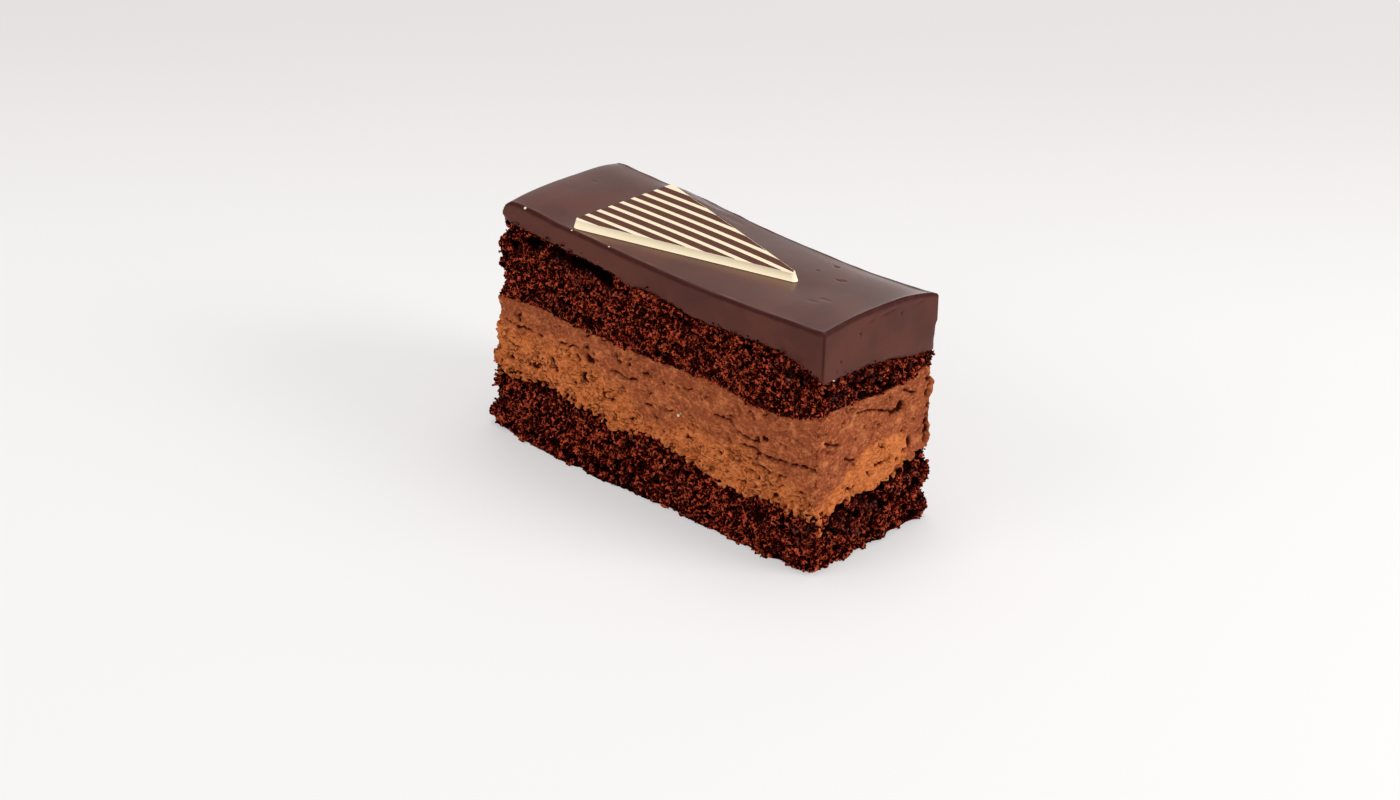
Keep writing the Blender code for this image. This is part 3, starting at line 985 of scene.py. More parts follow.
# %% Airy and dense mousse
FRONT_AIRY_TOP = (
    (-61, 33), (-50, 33.5), (-40, 33), (-35, 34), (-28, 32), (-20, 31), (-10, 28.5), (-5, 23.5), (4, 23.5),
    (10, 27), (40, 27), (55, 22.5), (58, 21),
)
END_AIRY_TOP = (
    (-23, 19), (-11, 24), (-7, 28), (-3, 30), (3, 31), (9, 31), (14, 29), (14.6, 20), (22.4, 18),
)
OTHER_AIRY_TOP = ((-70, 31), (-40, 33), (-15, 29), (5, 31), (30, 27), (70, 29))
# The border is sharper and straighter on the near end than on the long sides
END_SOFTNESS = 0.7
SIDE_SOFTNESS = 3.2
END_WOBBLE = 0.3


def airy_share(points, normals):
    """1 where the mousse is airy and tan, 0 where it is dense."""
    front = line_height(FRONT_AIRY_TOP, points[:, 0] - MIDDLE[0])
    end = line_height(END_AIRY_TOP, points[:, 1] - MIDDLE[1])
    other = line_height(OTHER_AIRY_TOP, points[:, 0] + points[:, 1])
    on_end = normals[:, 0] > 0.6
    top = np.where(on_end, end, np.where(normals[:, 1] < -0.3, front, other))
    wobble = 2.6 * noise_at(points, 6.0, 3.0) + 1.4 * noise_at(points, 1.8, 9.0)
    softness = np.where(on_end, END_SOFTNESS, SIDE_SOFTNESS)
    wobble = wobble * np.where(on_end, END_WOBBLE, 1.0)
    return fade((top + wobble - points[:, 2]) / softness, -1.0, 1.0)


print("the airy mousse ends at most", max(up for _, up in FRONT_AIRY_TOP), "mm up on the front")

# %% [markdown]
# The mousse was soft when the sponge took it, so it hangs over the lower sponge in drips. They could be
# sculpted one by one. A row of small balls, each pulled out of round, does the same with less work, because
# the remesh melts them onto the layer.

# %% Lumps along the lower edge of the mousse
MOUSSE_FOOT = {
    "front": (
        (-60.5, 17.0), (-45, 20.2), (-27, 18.6), (-12, 16.7), (-4, 19.8), (8, 18.2), (22, 15.3), (40, 16.6),
        (57, 18.8),
    ),
    "back": ((-60.5, 18.5), (-38, 16.8), (-14, 19.2), (10, 17.4), (34, 19.6), (57, 21.8)),
    "near": ((-22.35, 18.8), (-12, 18.6), (0, 18.3), (9, 18.4), (14, 21.8), (22.35, 21.8)),
    "far": ((-22.35, 17.0), (0, 19.4), (22.35, 18.5)),
}
DRIP_STEP = 1.5
DRIP_RADIUS = (0.45, 1.3)
# How far below or above the edge a drip sits, and how its radius is stretched along X, Y and Z
DRIP_LEVEL = (-1.1, 0.9)
DRIP_STRETCH = ((0.8, 1.6), (0.7, 1.1), (0.6, 1.3))


def add_blob(place, size, turn):
    """One small lump: a ball pulled out of round."""
    bpy.ops.mesh.primitive_ico_sphere_add(subdivisions=2, radius=MM, location=Vector(place) * MM)
    blob = bpy.context.object
    blob.scale = size
    blob.rotation_euler = turn
    bpy.ops.object.transform_apply(location=True, rotation=True, scale=True)
    return blob


def drip_blobs(dice):
    """Drips that hang off the mousse's lower edge, all round the slice."""
    blobs = []
    runs = (
        ("front", FAR_X + 1, NEAR_X - 1, lambda run: (run, FRONT_Y + 0.1)),
        ("back", FAR_X + 1, NEAR_X - 1, lambda run: (run, BACK_Y - 0.1)),
        ("near", FRONT_Y + 1, BACK_Y - 1, lambda run: (NEAR_X - 0.7, run)),
        ("far", FRONT_Y + 1, BACK_Y - 1, lambda run: (FAR_X + 0.1, run)),
    )
    for side, start, end, place_at in runs:
        middle = MIDDLE[0] if side in ("front", "back") else MIDDLE[1]
        run = start
        while run < end:
            radius = dice.uniform(*DRIP_RADIUS)
            x, y = place_at(run)
            z = float(line_height(MOUSSE_FOOT[side], [run - middle])[0]) + dice.uniform(*DRIP_LEVEL)
            size = [radius * dice.uniform(*stretch) for stretch in DRIP_STRETCH]
            blobs.append(add_blob((x, y, z), size, (0, dice.uniform(-0.6, 0.6), dice.uniform(0, 3))))
            run += dice.uniform(0.3, 1.9) * DRIP_STEP
    return blobs


print("drips are", DRIP_RADIUS, "mm in radius and about", DRIP_STEP, "mm apart")

# %% [markdown]
# At the near corner the knife pulled a tongue of mousse down over the lower sponge. It is made of the same
# lumps, this time at places chosen one by one.

# %% Mousse smear at the near corner
# Places from the layers' middle as (along X, along Y, up), and half sizes
SMEAR = (
    ((56.5, -21.6, 17.4), (1.0, 1.0, 2.3)), ((55.2, -22.0, 16.8), (1.1, 0.6, 0.9)),
    ((56.9, -20.5, 16.2), (0.8, 1.2, 1.3)), ((57.1, -20.9, 13.0), (0.9, 1.0, 1.2)),
    ((53.6, -22.2, 17.3), (1.2, 0.5, 0.7)), ((56.6, -19.0, 17.4), (0.5, 1.0, 0.6)),
)
SMEAR_TURN = (0.2, 0.1, 0.3)


def smear_blobs():
    return [add_blob(Vector(place) + Vector(MIDDLE), size, SMEAR_TURN) for place, size in SMEAR]


print("lumps in the smear:", len(SMEAR))

# %% [markdown]
# The mousse is matte and has two base colours, which the stored airiness blends. Noise adds pale curds with a
# painted highlight on their tops, and painted shade in the dark hollows between them and in thin wrinkles,
# all stronger where the mousse is torn. Cracks and holes are darkened by the depth that is stored on the
# points, because little light comes back out of a deep crack.

# %% Mousse material
MOUSSE_DENSE = (0.335, 0.079, 0.027)
MOUSSE_AIRY = (0.6, 0.168, 0.046)
# MOUSSE_DEEP is painted shade in hollows, wrinkles and cracks; MOUSSE_BRIGHT is a paler tone in patches and a
# painted highlight on curd tops
MOUSSE_DEEP = (0.07, 0.0065, 0.001)
MOUSSE_BRIGHT = (0.85, 0.29, 0.1)


def mousse_material():
    tree, made = new_material("mousse_cut")
    place = place_of(tree)
    airy = attribute_of(tree, "airy")
    deep = attribute_of(tree, "deep")
    rough = attribute_of(tree, "rough")
    colour = mix_of(tree, airy, (*MOUSSE_DENSE, 1), (*MOUSSE_AIRY, 1))
    colour = patchy(tree, place, 3.0, (0.5, 0.75), colour, (*MOUSSE_BRIGHT, 1), 0.45)
    # Curds of two sizes, which show most where the mousse is torn
    curd = noise_of(tree, warped(tree, place, 1.5, 1.0), 1.2, 3.0, stretch=(0.8, 0.8, 1.25))
    fine = noise_of(tree, warped(tree, place, 0.9, 0.5), 0.85, 3.0, stretch=(0.8, 0.8, 1.2))
    grainy = range_of(tree, rough, 0.0, 1.0, 0.6, 1.0)
    # Thin wrinkles run where a swirling noise passes through its middle, and only in some patches
    swirl = noise_of(tree, warped(tree, place, 3.0, 2.5), 2.2, 3.0, stretch=(0.8, 0.8, 1.3))
    wrinkle = math_of(tree, "ABSOLUTE", math_of(tree, "SUBTRACT", swirl, 0.5))
    wrinkle = range_of(tree, wrinkle, 0.008, 0.042, 1.0, 0.0)
    wrinkled = range_of(tree, noise_of(tree, place, 4.5, 2.0), 0.44, 0.56)
    wrinkle = math_of(tree, "MULTIPLY", wrinkle, wrinkled)
    wrinkle = math_of(tree, "MULTIPLY", wrinkle, range_of(tree, rough, 0.0, 1.0, 0.5, 0.85))
    # Painted highlight on the pale tops, then painted shade in the hollows, wrinkles and cracks
    lit_tops = math_of(tree, "MULTIPLY", range_of(tree, fine, 0.52, 0.66, 0.0, 0.55), grainy)
    colour = mix_of(tree, lit_tops, colour, (*MOUSSE_BRIGHT, 1))
    dark = math_of(tree, "MULTIPLY", range_of(tree, fine, 0.34, 0.46, 0.5, 0.0), grainy)
    curd_shade = math_of(tree, "MULTIPLY", range_of(tree, curd, 0.3, 0.42, 0.4, 0.0), grainy)
    dark = math_of(tree, "MAXIMUM", math_of(tree, "ADD", dark, curd_shade), wrinkle)
    dark = math_of(tree, "MAXIMUM", dark, range_of(tree, deep, 0.25, 1.05))
    colour = mix_of(tree, dark, colour, (*MOUSSE_DEEP, 1))
    height = math_of(tree, "ADD", math_of(tree, "MULTIPLY", curd, 1.6), fine)
    height = math_of(tree, "SUBTRACT", height, math_of(tree, "MULTIPLY", wrinkle, 0.5))
    paint(
        tree,
        Base_Color=colour,
        Roughness=range_of(tree, airy, 0.0, 1.0, 0.6, 0.8),
        Specular_IOR_Level=0.06,
        Normal=fine_skin(tree, place, 0.5, 0.12, bump_of(tree, height, 0.34)),
    )
    return made


mousse_finish = mousse_material()
print("material:", mousse_finish.name)

# %% [markdown]
# Now the layer itself. Drips and smear are joined to the plain solid and melted onto it, and two soft
# textures give it folds and tufts. Torn relief, cracks, holes and pits are then one number for each point:
# how far it moves along its normal. Top and underside swell a little, so that no gap opens to the sponges.

# %% Mousse piece
MOUSSE_VOXEL = 0.34
MOUSSE_ROUNDS = 3
MOUSSE_SWELL = 0.35
MOUSSE_KEPT = 0.49
PIT_COUNT = 380
# Noise on these stretched places comes out flatter than wide
LEVEL_STRETCH = np.array((0.8, 0.8, 1.25))
PIT_STRETCH = np.array((0.75, 0.75, 1.25))
TORN_MIDDLE = 0.15
VALLEY_SHADE = 0.9
# The knife left the near end this much calmer than the front
END_CALM = 0.75
mousse_layers = (
    (make_texture("folds", "CLOUDS", 6.5, noise_depth=1), {"depth": 0.9, "middle": 0.55}),
    (make_texture("tufts", "CLOUDS", 1.8, noise_depth=2), {"depth": 0.7, "middle": 0.52}),
)


def random_pits(points, normals, rough, dice):
    """Depth of many small burst bubbles, most of them in the torn part and in clusters."""
    cluster = fade(noise_at(points, 5.0, 21.0), -0.2, 0.5)
    chance = side_share(normals) * (0.08 + 0.92 * rough) * (0.15 + cluster)
    chosen = dice.choice(len(points), PIT_COUNT, replace=False, p=chance / chance.sum())
    radii = 0.25 + 0.75 * dice.random(PIT_COUNT) ** 4
    tree = KDTree(PIT_COUNT)
    for number, index in enumerate(chosen):
        tree.insert(points[index] * PIT_STRETCH, number)
    tree.balance()
    depth = np.zeros(len(points))
    for index in np.nonzero(side_share(normals) > 0.2)[0]:
        _, number, gap = tree.find(points[index] * PIT_STRETCH)
        radius = radii[number]
        if gap < radius:
            depth[index] = (0.2 + 1.3 * radius) * (1 - (gap / radius) ** 2)
    return depth


def torn(points, rough):
    """Ragged ridges with crevices between them, where the airy mousse tore instead of being cut."""
    level = points * LEVEL_STRETCH
    ridges = 1 - 3 * np.abs(noise_at(level, 3.0, 13.0))
    fine = 1 - 3 * np.abs(noise_at(level, 1.1, 17.0))
    crevice = 1 - fade(np.abs(noise_at(level, 2.3, 51.0)), 0.03, 0.14)
    crevice *= fade(noise_at(points, 4.0, 61.0), -0.05, 0.2)
    return (0.12 + 0.88 * rough) * (0.6 * ridges + 0.25 * fine - 0.9 * crevice)


def mousse_marks(points, normals, rough):
    """Depth of every crack, hole and pit in the mousse."""
    dice = random.Random(31)
    front = facing(normals, "front")
    near = facing(normals, "near")
    wander = 0.5 * np.column_stack((noise_at(points, 1.0, 1.0), noise_at(points, 1.0, 5.0)))
    along_side = front_place(points) + wander
    along_end = end_place(points) + wander
    depth = front * press_cracks(along_side, FRONT_CRACKS)
    depth += near * press_cracks(along_end, END_CRACKS)
    for face, (count, field) in SMALL_CRACKS.items():
        places = along_side if face in ("front", "back") else along_end
        fine = press_cracks(places, small_cracks(dice, count, *field), SMALL_CRACK_WIDTH)
        depth = np.maximum(depth, facing(normals, face) * fine)
    # A crack isn't open all the way: it breaks off here and there
    depth *= fade(noise_at(points, 2.2, 41.0), -0.7, -0.3)
    holes = near * press_holes(along_end, END_HOLES + corner_hollows(dice))
    holes = np.maximum(front * press_holes(along_side, FRONT_HOLES), holes)
    depth = np.where(holes > 0.02, np.maximum(depth, holes), depth)
    pits = random_pits(points + 0.3 * wander[:, [0, 1, 1]], normals, rough, np.random.default_rng(4))
    return np.where(pits > 0.02, np.maximum(depth, pits), depth)


def make_mousse(material):
    blobs = drip_blobs(random.Random(7)) + smear_blobs()
    piece = fine_copy("mousse", "mousse_cut", MOUSSE_VOXEL, MOUSSE_ROUNDS, blobs)
    _, normals, _ = press_textures(piece, mousse_layers)
    points = read_points(piece)
    airy = airy_share(points, normals)
    rough = airy * (1 - END_CALM * facing(normals, "near", 0.3, 0.7))
    depth = mousse_marks(points, normals, rough)
    relief = torn(points, rough)
    points += normals * ((relief - TORN_MIDDLE) * side_share(normals) - depth)[:, None]
    level = level_share(normals)
    points[:, 2] += MOUSSE_SWELL * level * np.sign(normals[:, 2])
    write_points(piece, kept_in_box(points))
    write_mask(piece, "deep", depth + VALLEY_SHADE * np.maximum(-relief, 0))
    write_mask(piece, "airy", airy)
    write_mask(piece, "rough", rough)
    thin_out(piece, level, MOUSSE_KEPT)
    print("mousse has", len(piece.data.polygons), "faces and", len(blobs), "lumps")
    finish_piece(piece, "mousse", material)


make_mousse(mousse_finish)

# %% [markdown]
# ## Glaze
#
# The glaze was poured, so its top is level and satin, and it was cut with a warm knife, so its sides are
# smooth too. Its colour turns darker and redder in a thin line along the cut edges. The plain solid has small
# facets that a satin surface would show, so it is remeshed and its surfaces are calmed by smoothing, while
# a band along the cut edges is held still to keep them crisp.

# %% Glaze material
GLAZE_COLOUR = (0.1, 0.0205, 0.0105)
GLAZE_DEEP = (0.073, 0.0135, 0.007)
GLAZE_EDGE = (0.045, 0.0035, 0.0015)


def glaze_material():
    tree, made = new_material("glaze_satin")
    place = place_of(tree)
    poured = attribute_of(tree, "poured")
    rim = attribute_of(tree, "rim")
    colour = patchy(tree, place, 14.0, (0.35, 0.65), (*GLAZE_COLOUR, 1), (*GLAZE_DEEP, 1))
    uneven = range_of(tree, noise_of(tree, place, 3.0, 3.0), 0.3, 0.5, 0.6, 1.0)
    colour = mix_of(tree, math_of(tree, "MULTIPLY", rim, uneven), colour, (*GLAZE_EDGE, 1))
    # The knife dragged fine lines along the cut sides, and left them less shiny than the poured top
    drag = noise_of(tree, place, 1.6, 3.0, stretch=(0.15, 0.15, 1.0))
    on_cut = math_of(tree, "MULTIPLY", drag, math_of(tree, "SUBTRACT", 1.0, poured))
    shine = range_of(tree, poured, 0.0, 1.0, 0.1, 0.8)
    paint(
        tree,
        Base_Color=colour,
        Roughness=range_of(tree, poured, 0.0, 1.0, 0.5, 0.4),
        Specular_IOR_Level=0.15,
        Coat_Weight=math_of(tree, "MULTIPLY", shine, range_of(tree, rim, 0.0, 1.0, 1.0, 0.12)),
        Coat_Roughness=0.14,
        Normal=fine_skin(tree, place, 6.0, 0.012, bump_of(tree, on_cut, 0.07)),
    )
    return made


glaze_finish = glaze_material()
print("material:", glaze_finish.name)

# %% [markdown]
# Even a calm glaze has its marks: dents in the top, bubbles that the knife cut open at the end, and nicks
# in the lower border, where it ran down into the sponge. They are few and easy to find in the photo, so
# they are listed one by one like those of the mousse.

# %% Marks in the glaze
# Small dents and smears of the top: (along X, along Y, half length, half width, depth)
TOP_DENTS = (
    (36.2, 7.2, 1.3, 0.35, 0.35), (37.4, 8.0, 1.1, 0.3, 0.3), (28.0, 8.3, 0.6, 0.4, 0.3),
    (43.0, -6.0, 2.2, 0.7, 0.12), (41.0, -9.0, 1.8, 0.6, 0.1), (28.5, 15.5, 1.0, 0.6, 0.4),
    (-50.0, 4.0, 0.8, 0.5, 0.12),
)
END_PITS = (
    (-8.0, 67.0, 0.45, 0.45, 0.8), (-15.3, 61.8, 0.4, 0.5, 0.7), (8.5, 67.3, 0.35, 0.5, 0.6),
    (-17.0, 59.5, 0.3, 0.3, 0.5), (3.0, 69.4, 3.4, 0.35, 0.35), (-4.0, 69.4, 1.4, 0.3, 0.3),
    (16.0, 68.0, 2.0, 0.3, 0.25),
)
FRONT_NICKS = (
    (-18.0, 60.5, 0.9, 0.7, 0.9), (-9.0, 60.9, 0.7, 0.9, 0.8), (6.0, 60.2, 0.8, 0.7, 0.8),
    (21.0, 60.4, 0.7, 0.8, 0.8), (33.0, 60.9, 0.8, 0.6, 0.7), (44.0, 60.3, 0.8, 0.8, 0.8),
    (-33.5, 63.9, 0.8, 0.6, 0.8), (-42.0, 64.2, 0.9, 0.6, 0.7), (-54.0, 64.4, 0.9, 0.7, 0.8),
)
# Waves of the lower border: how wide, and how deep
BORDER_WAVES = ((3.2, 0.7), (1.2, 0.6))
BORDER_REACH = 3.0
# A thin raised lip runs along the edge of the near end
LIP_HEIGHT_AT_END = 0.4
LIP_REACH = 2.2
# The top's back edge swells up a little behind the triangle
BACK_EDGE_RISE = 1.2
BACK_EDGE_ACROSS = (8.0, 21.0)
BACK_EDGE_MIDDLE = -15.0
BACK_EDGE_SPREAD = 19.0
print("marks in the glaze:", len(TOP_DENTS) + len(END_PITS) + len(FRONT_NICKS))

# %% [markdown]
# The order of the work matters here. Smoothing comes first, once for all calm faces and once more for a
# ring round the triangle, where the solid is raised to carry it and the glaze should run out softly.
# Vertex groups hold the cut edges still meanwhile. Only then do the dents, the raised rim and the wavy
# border go in, because smoothing would wipe them away.

# %% Glaze piece
# Corners of the triangle that lies on the glaze, seen from above
CORNERS = ((-35.0, -21.2), (32.4, -2.2), (-32.5, 16.6))
GLAZE_VOXEL = 0.42
GLAZE_ROUNDS = 2
GLAZE_KEPT = 0.7
GLAZE_TOP_LOWEST = 60.0
CALM_ROUNDS = 60
# Points whose normal follows no axis this closely are on an edge
EDGE_LIMIT = 0.93
# The glaze rises to carry the triangle, and this far round the triangle that rise is drawn out flat
SEAT_BLEND_NEAR = (0.2, 2.0)
SEAT_BLEND_FAR = (11.0, 15.0)
SEAT_ROUNDS = 420
RIM_WIDTH = 1.5
RIM_DROP = 1.0
UPRIGHT_RIM = 0.8
# The bead is the thin ridge that the knife raised beside the cut
BEAD_HEIGHT = 0.25
BEAD_GAP = 0.7
BEAD_WIDTH = 0.5


def edge_gap(points, chosen):
    """How far each point is from the nearest of the chosen points."""
    tree = KDTree(len(chosen))
    for index in chosen:
        tree.insert(points[index], int(index))
    tree.balance()
    return np.array([tree.find(point)[2] for point in points])


def gap_to_triangle(places):
    """How far each place on the top is outside the triangle's outline."""
    inside = np.ones(len(places), dtype=bool)
    for number in range(3):
        start, end = np.array(CORNERS[number - 1]), np.array(CORNERS[number])
        way = end - start
        inside &= way[0] * (places[:, 1] - start[1]) - way[1] * (places[:, 0] - start[0]) > 0
    return np.where(inside, 0.0, distance_to_line(places, CORNERS + CORNERS[:1]))


def smooth_bottom(points):
    """Height of the layer's lower border under each point."""
    flipped = points * np.array((1, 1, -1))
    return -smooth_top(flipped)


def on_top(points, normals):
    """1 on the poured top of the glaze, 0 on its cut sides and its underside."""
    return fade(normals[:, 2], 0.75, 0.97) * (points[:, 2] > GLAZE_TOP_LOWEST)


def calm_glaze(piece):
    """Smooths the glaze between its cut edges, then the ring round the triangle's seat."""
    points, normals = read_points(piece), read_normals(piece)
    on_edge = (np.abs(normals).max(axis=1) < EDGE_LIMIT) & (points[:, 2] > GLAZE_TOP_LOWEST)
    from_edge = edge_gap(points, np.nonzero(on_edge)[0])
    weigh_points(piece, "calm", fade(from_edge, 0.3, 2.2))
    apply_modifier(piece, "SMOOTH", factor=0.5, iterations=CALM_ROUNDS, vertex_group="calm")
    seat_gap = gap_to_triangle(points[:, :2] - MIDDLE[:2])
    ring = fade(seat_gap, *SEAT_BLEND_NEAR) * (1 - fade(seat_gap, *SEAT_BLEND_FAR))
    weigh_points(piece, "ring", ring * on_top(points, normals) * fade(from_edge, 0.6, 3.0))
    apply_modifier(piece, "SMOOTH", factor=0.5, iterations=SEAT_ROUNDS, vertex_group="ring")
    print("points on the edges of the glaze:", on_edge.sum())


def gap_to_cut(points):
    """How far each point is from the nearest of the front, the near end and the back."""
    return np.minimum.reduce((points[:, 1] - FRONT_Y, NEAR_X - points[:, 0], BACK_Y - points[:, 1]))


def glaze_rim(points):
    """1 along the cut edges of the top, and nearly so along the upright near corner."""
    below_top = smooth_top(points) - points[:, 2]
    top_rim = (1 - fade(gap_to_cut(points), 0.6, RIM_WIDTH)) * (1 - fade(below_top, 0.35, RIM_DROP))
    upright_gap = np.maximum(points[:, 1] - FRONT_Y, NEAR_X - points[:, 0])
    return np.maximum(top_rim, UPRIGHT_RIM * (1 - fade(upright_gap, 0.3, 0.9)))


def glaze_dents(points, normals, top):
    """Depth of the dents in the top, the pits in the near end and the nicks in the front."""
    dents = press_holes(points[:, :2] - MIDDLE[:2], TOP_DENTS) * top
    dents += press_holes(end_place(points), END_PITS) * facing(normals, "near", 0.5, 0.8)
    dents += press_holes(front_place(points), FRONT_NICKS) * facing(normals, "front", 0.5, 0.8)
    return dents


def finer_glaze(points, normals):
    """The glaze's points with dents, bead, lip, wavy border and swollen back edge."""
    top = on_top(points, normals)
    bead = np.exp(-(((gap_to_cut(points) - BEAD_GAP) / BEAD_WIDTH) ** 2))
    above_border = points[:, 2] - smooth_bottom(points)
    waves = sum(depth * noise_at(points, cell, 3.0 + cell) for cell, depth in BORDER_WAVES)
    points = points - normals * glaze_dents(points, normals, top)[:, None]
    points[:, 2] += BEAD_HEIGHT * bead * top * (0.6 + 0.8 * noise_at(points, 5.0, 2.0))
    points[:, 2] += LIP_HEIGHT_AT_END * top * np.exp(-np.maximum(NEAR_X - points[:, 0], 0) / LIP_REACH)
    points[:, 2] += waves * side_share(normals) * (1 - fade(above_border, 0.5, BORDER_REACH))
    back_edge = np.exp(-(((points[:, 0] - BACK_EDGE_MIDDLE) / BACK_EDGE_SPREAD) ** 2))
    back_edge = fade(points[:, 1], *BACK_EDGE_ACROSS) * back_edge
    points[:, 2] += BACK_EDGE_RISE * back_edge * fade(above_border, 2.0, 8.0)
    return points


def make_glaze(material):
    piece = fine_copy("glaze", "glaze_cut", GLAZE_VOXEL, GLAZE_ROUNDS)
    calm_glaze(piece)
    points, normals = read_points(piece), read_normals(piece)
    write_points(piece, kept_in_box(finer_glaze(points, normals)))
    write_mask(piece, "rim", glaze_rim(points))
    write_mask(piece, "poured", on_top(points, normals))
    thin_out(piece, (normals[:, 2] < -0.5).astype(float), GLAZE_KEPT)
    print("glaze has", len(piece.data.polygons), "faces")
    finish_piece(piece, "glaze", material)


make_glaze(glaze_finish)

# %% [markdown]
# ## Striped triangle
#
# The triangle is a thin plate of white chocolate with dark stripes printed on it. It was cast, so its
# corners are rounded and its sides slant: the plate is a rounded outline that is pulled up to its
# thickness, drawn in at the top, and bevelled. A plain prism would be quicker, but its sharp corners and
# upright sides would look like cut card.

# %% Seat and outline of the triangle
# Heights of the glaze under the three corners, and how far above them the plate is built
SEAT = (69.6, 70.2, 68.8)
SEAT_GAP = 0.3
CORNER_RADII = (1.6, 1.0, 1.3)
CORNER_STEPS = 6
PLATE_THICKNESS = 2.1
PLATE_LOW = -0.1
# The mould slants the sides, most of all the long near one
PLATE_DRAFTS = (0.55, 0.15, 0.15)
PLATE_BEVEL = 0.34


def seat_at(x, y):
    """Height of the slanting seat under a point, from its heights at the three corners."""
    low = [Vector((cx + MIDDLE[0], cy + MIDDLE[1], z + SEAT_GAP)) for (cx, cy), z in zip(CORNERS, SEAT)]
    normal = (low[1] - low[0]).cross(low[2] - low[0])
    return low[0].z - (normal.x * (x - low[0].x) + normal.y * (y - low[0].y)) / normal.z


def lay_on_seat(piece):
    """Moves a flat piece built around z = 0 up onto the slanting seat."""
    for vert in piece.data.vertices:
        x, y, z = vert.co / MM
        vert.co.z = (seat_at(x, y) + z) * MM


def drawn_in(corners, amounts):
    """The triangle's corners with each side moved in by its own amount; side 0 is the near one."""
    moved = []
    for number, here in enumerate(corners):
        side_in = (here - corners[number - 1]).normalized()
        side_out = (corners[(number + 1) % len(corners)] - here).normalized()
        inward_in = Vector((-side_in.y, side_in.x, 0))
        inward_out = Vector((-side_out.y, side_out.x, 0))
        overlap = inward_in.dot(inward_out)
        share_in = (amounts[number - 1] - overlap * amounts[number]) / (1 - overlap ** 2)
        share_out = (amounts[number] - overlap * amounts[number - 1]) / (1 - overlap ** 2)
        moved.append(here + share_in * inward_in + share_out * inward_out)
    return moved


def rounded(corners):
    """Places along the outline of the corners, with a round arc at each of them."""
    places = []
    for number, here in enumerate(corners):
        to_last = (corners[number - 1] - here).normalized()
        to_next = (corners[(number + 1) % len(corners)] - here).normalized()
        half_angle = to_last.angle(to_next) / 2
        radius = CORNER_RADII[number]
        centre = here + (to_last + to_next).normalized() * radius / math.sin(half_angle)
        arm = here + to_last * radius / math.tan(half_angle) - centre
        for step in range(CORNER_STEPS + 1):
            turn = Matrix.Rotation((math.pi - 2 * half_angle) * step / CORNER_STEPS, 3, "Z")
            places.append(centre + turn @ arm)
    return places


def triangle_prism(name, insets_below, insets_above, low, high, bevel):
    """A round-cornered triangle pulled up from low to high, with its sides drawn in by the insets."""
    corners = [Vector((*corner, 0)) for corner in CORNERS]
    below = rounded(drawn_in(corners, insets_below))
    above = rounded(drawn_in(corners, insets_above))
    bpy.ops.object.select_all(action="DESELECT")
    bpy.ops.mesh.primitive_circle_add(vertices=len(below), radius=MM, fill_type="NGON")
    prism = bpy.context.object
    prism.name = name
    for vert, place in zip(prism.data.vertices, below):
        vert.co = (place + Vector((0, 0, low))) * MM
    bpy.ops.object.mode_set(mode="EDIT")
    bpy.ops.mesh.select_all(action="SELECT")
    bpy.ops.mesh.extrude_region_move(TRANSFORM_OT_translate={"value": (0, 0, (high - low) * MM)})
    bpy.ops.object.mode_set(mode="OBJECT")
    for vert in prism.data.vertices:
        place = vert.co / MM
        if place.z > high - 0.01:
            gaps = [(place.xy - corner.xy).length for corner in below]
            vert.co = (above[gaps.index(min(gaps))] + Vector((0, 0, high))) * MM
    for vert in prism.data.vertices:
        vert.co += Vector((MIDDLE[0], MIDDLE[1], 0)) * MM
    bpy.ops.object.mode_set(mode="EDIT")
    if bevel:
        bm = bmesh.from_edit_mesh(prism.data)
        for edge in bm.edges:
            edge.select = abs(edge.verts[0].co.z - edge.verts[1].co.z) < 0.01 * MM
        bmesh.update_edit_mesh(prism.data)
        bpy.ops.mesh.bevel(affect="EDGES", offset=bevel * MM, segments=3)
    bpy.ops.mesh.select_all(action="SELECT")
    bpy.ops.mesh.normals_make_consistent(inside=False)
    bpy.ops.object.mode_set(mode="OBJECT")
    return prism


print("thickness of the plate in mm:", PLATE_THICKNESS - PLATE_LOW)

# %% [markdown]
# White chocolate lets light in: what enters the bright top comes out again at the sides. Real scattering
# inside the mesh would be slow and would be lost in the export, so the sides give off a weak light of their
# own. An attribute says which points belong to them.

# %% White and dark chocolate
WHITE_COLOUR = (0.93, 0.79, 0.55)
WHITE_SHADE = (0.95, 0.82, 0.61)
WHITE_GLOW = (0.44, 0.39, 0.26)
DARK_COLOUR = (0.085, 0.022, 0.009)
DARK_SHADE = (0.12, 0.033, 0.015)


def chocolate_material(name, colour, shade, roughness, glow):
    """Chocolate with cloudy patches; its sides give back the light that went into its top."""
    tree, made = new_material(name)
    place = place_of(tree)
    clouds = noise_of(tree, place, 4.0, 3.0)
    surface = tree.nodes.new("ShaderNodeNewGeometry").outputs["Normal"]
    paint(
        tree,
        Base_Color=patchy(tree, place, 4.0, (0.3, 0.75), (*colour, 1), (*shade, 1)),
        Roughness=range_of(tree, clouds, 0.3, 0.7, roughness, roughness + 0.1),
        Specular_IOR_Level=0.2,
        Emission_Color=mix_of(tree, attribute_of(tree, "side"), (0, 0, 0, 1), (*glow, 1)),
        Emission_Strength=1.0,
        Normal=fine_skin(tree, place, 0.6, 0.006, surface),
    )
    return made


white_chocolate = chocolate_material("white_chocolate", WHITE_COLOUR, WHITE_SHADE, 0.35, WHITE_GLOW)
dark_chocolate = chocolate_material("dark_chocolate", DARK_COLOUR, DARK_SHADE, 0.38, (0, 0, 0))
print("materials:", white_chocolate.name, "and", dark_chocolate.name)

# %% [markdown]
# The plate is built level, around a height of zero, and is then moved up point by point onto the slanting
# seat. Turning it would be the other way, but this one keeps its outline as we read it from above.

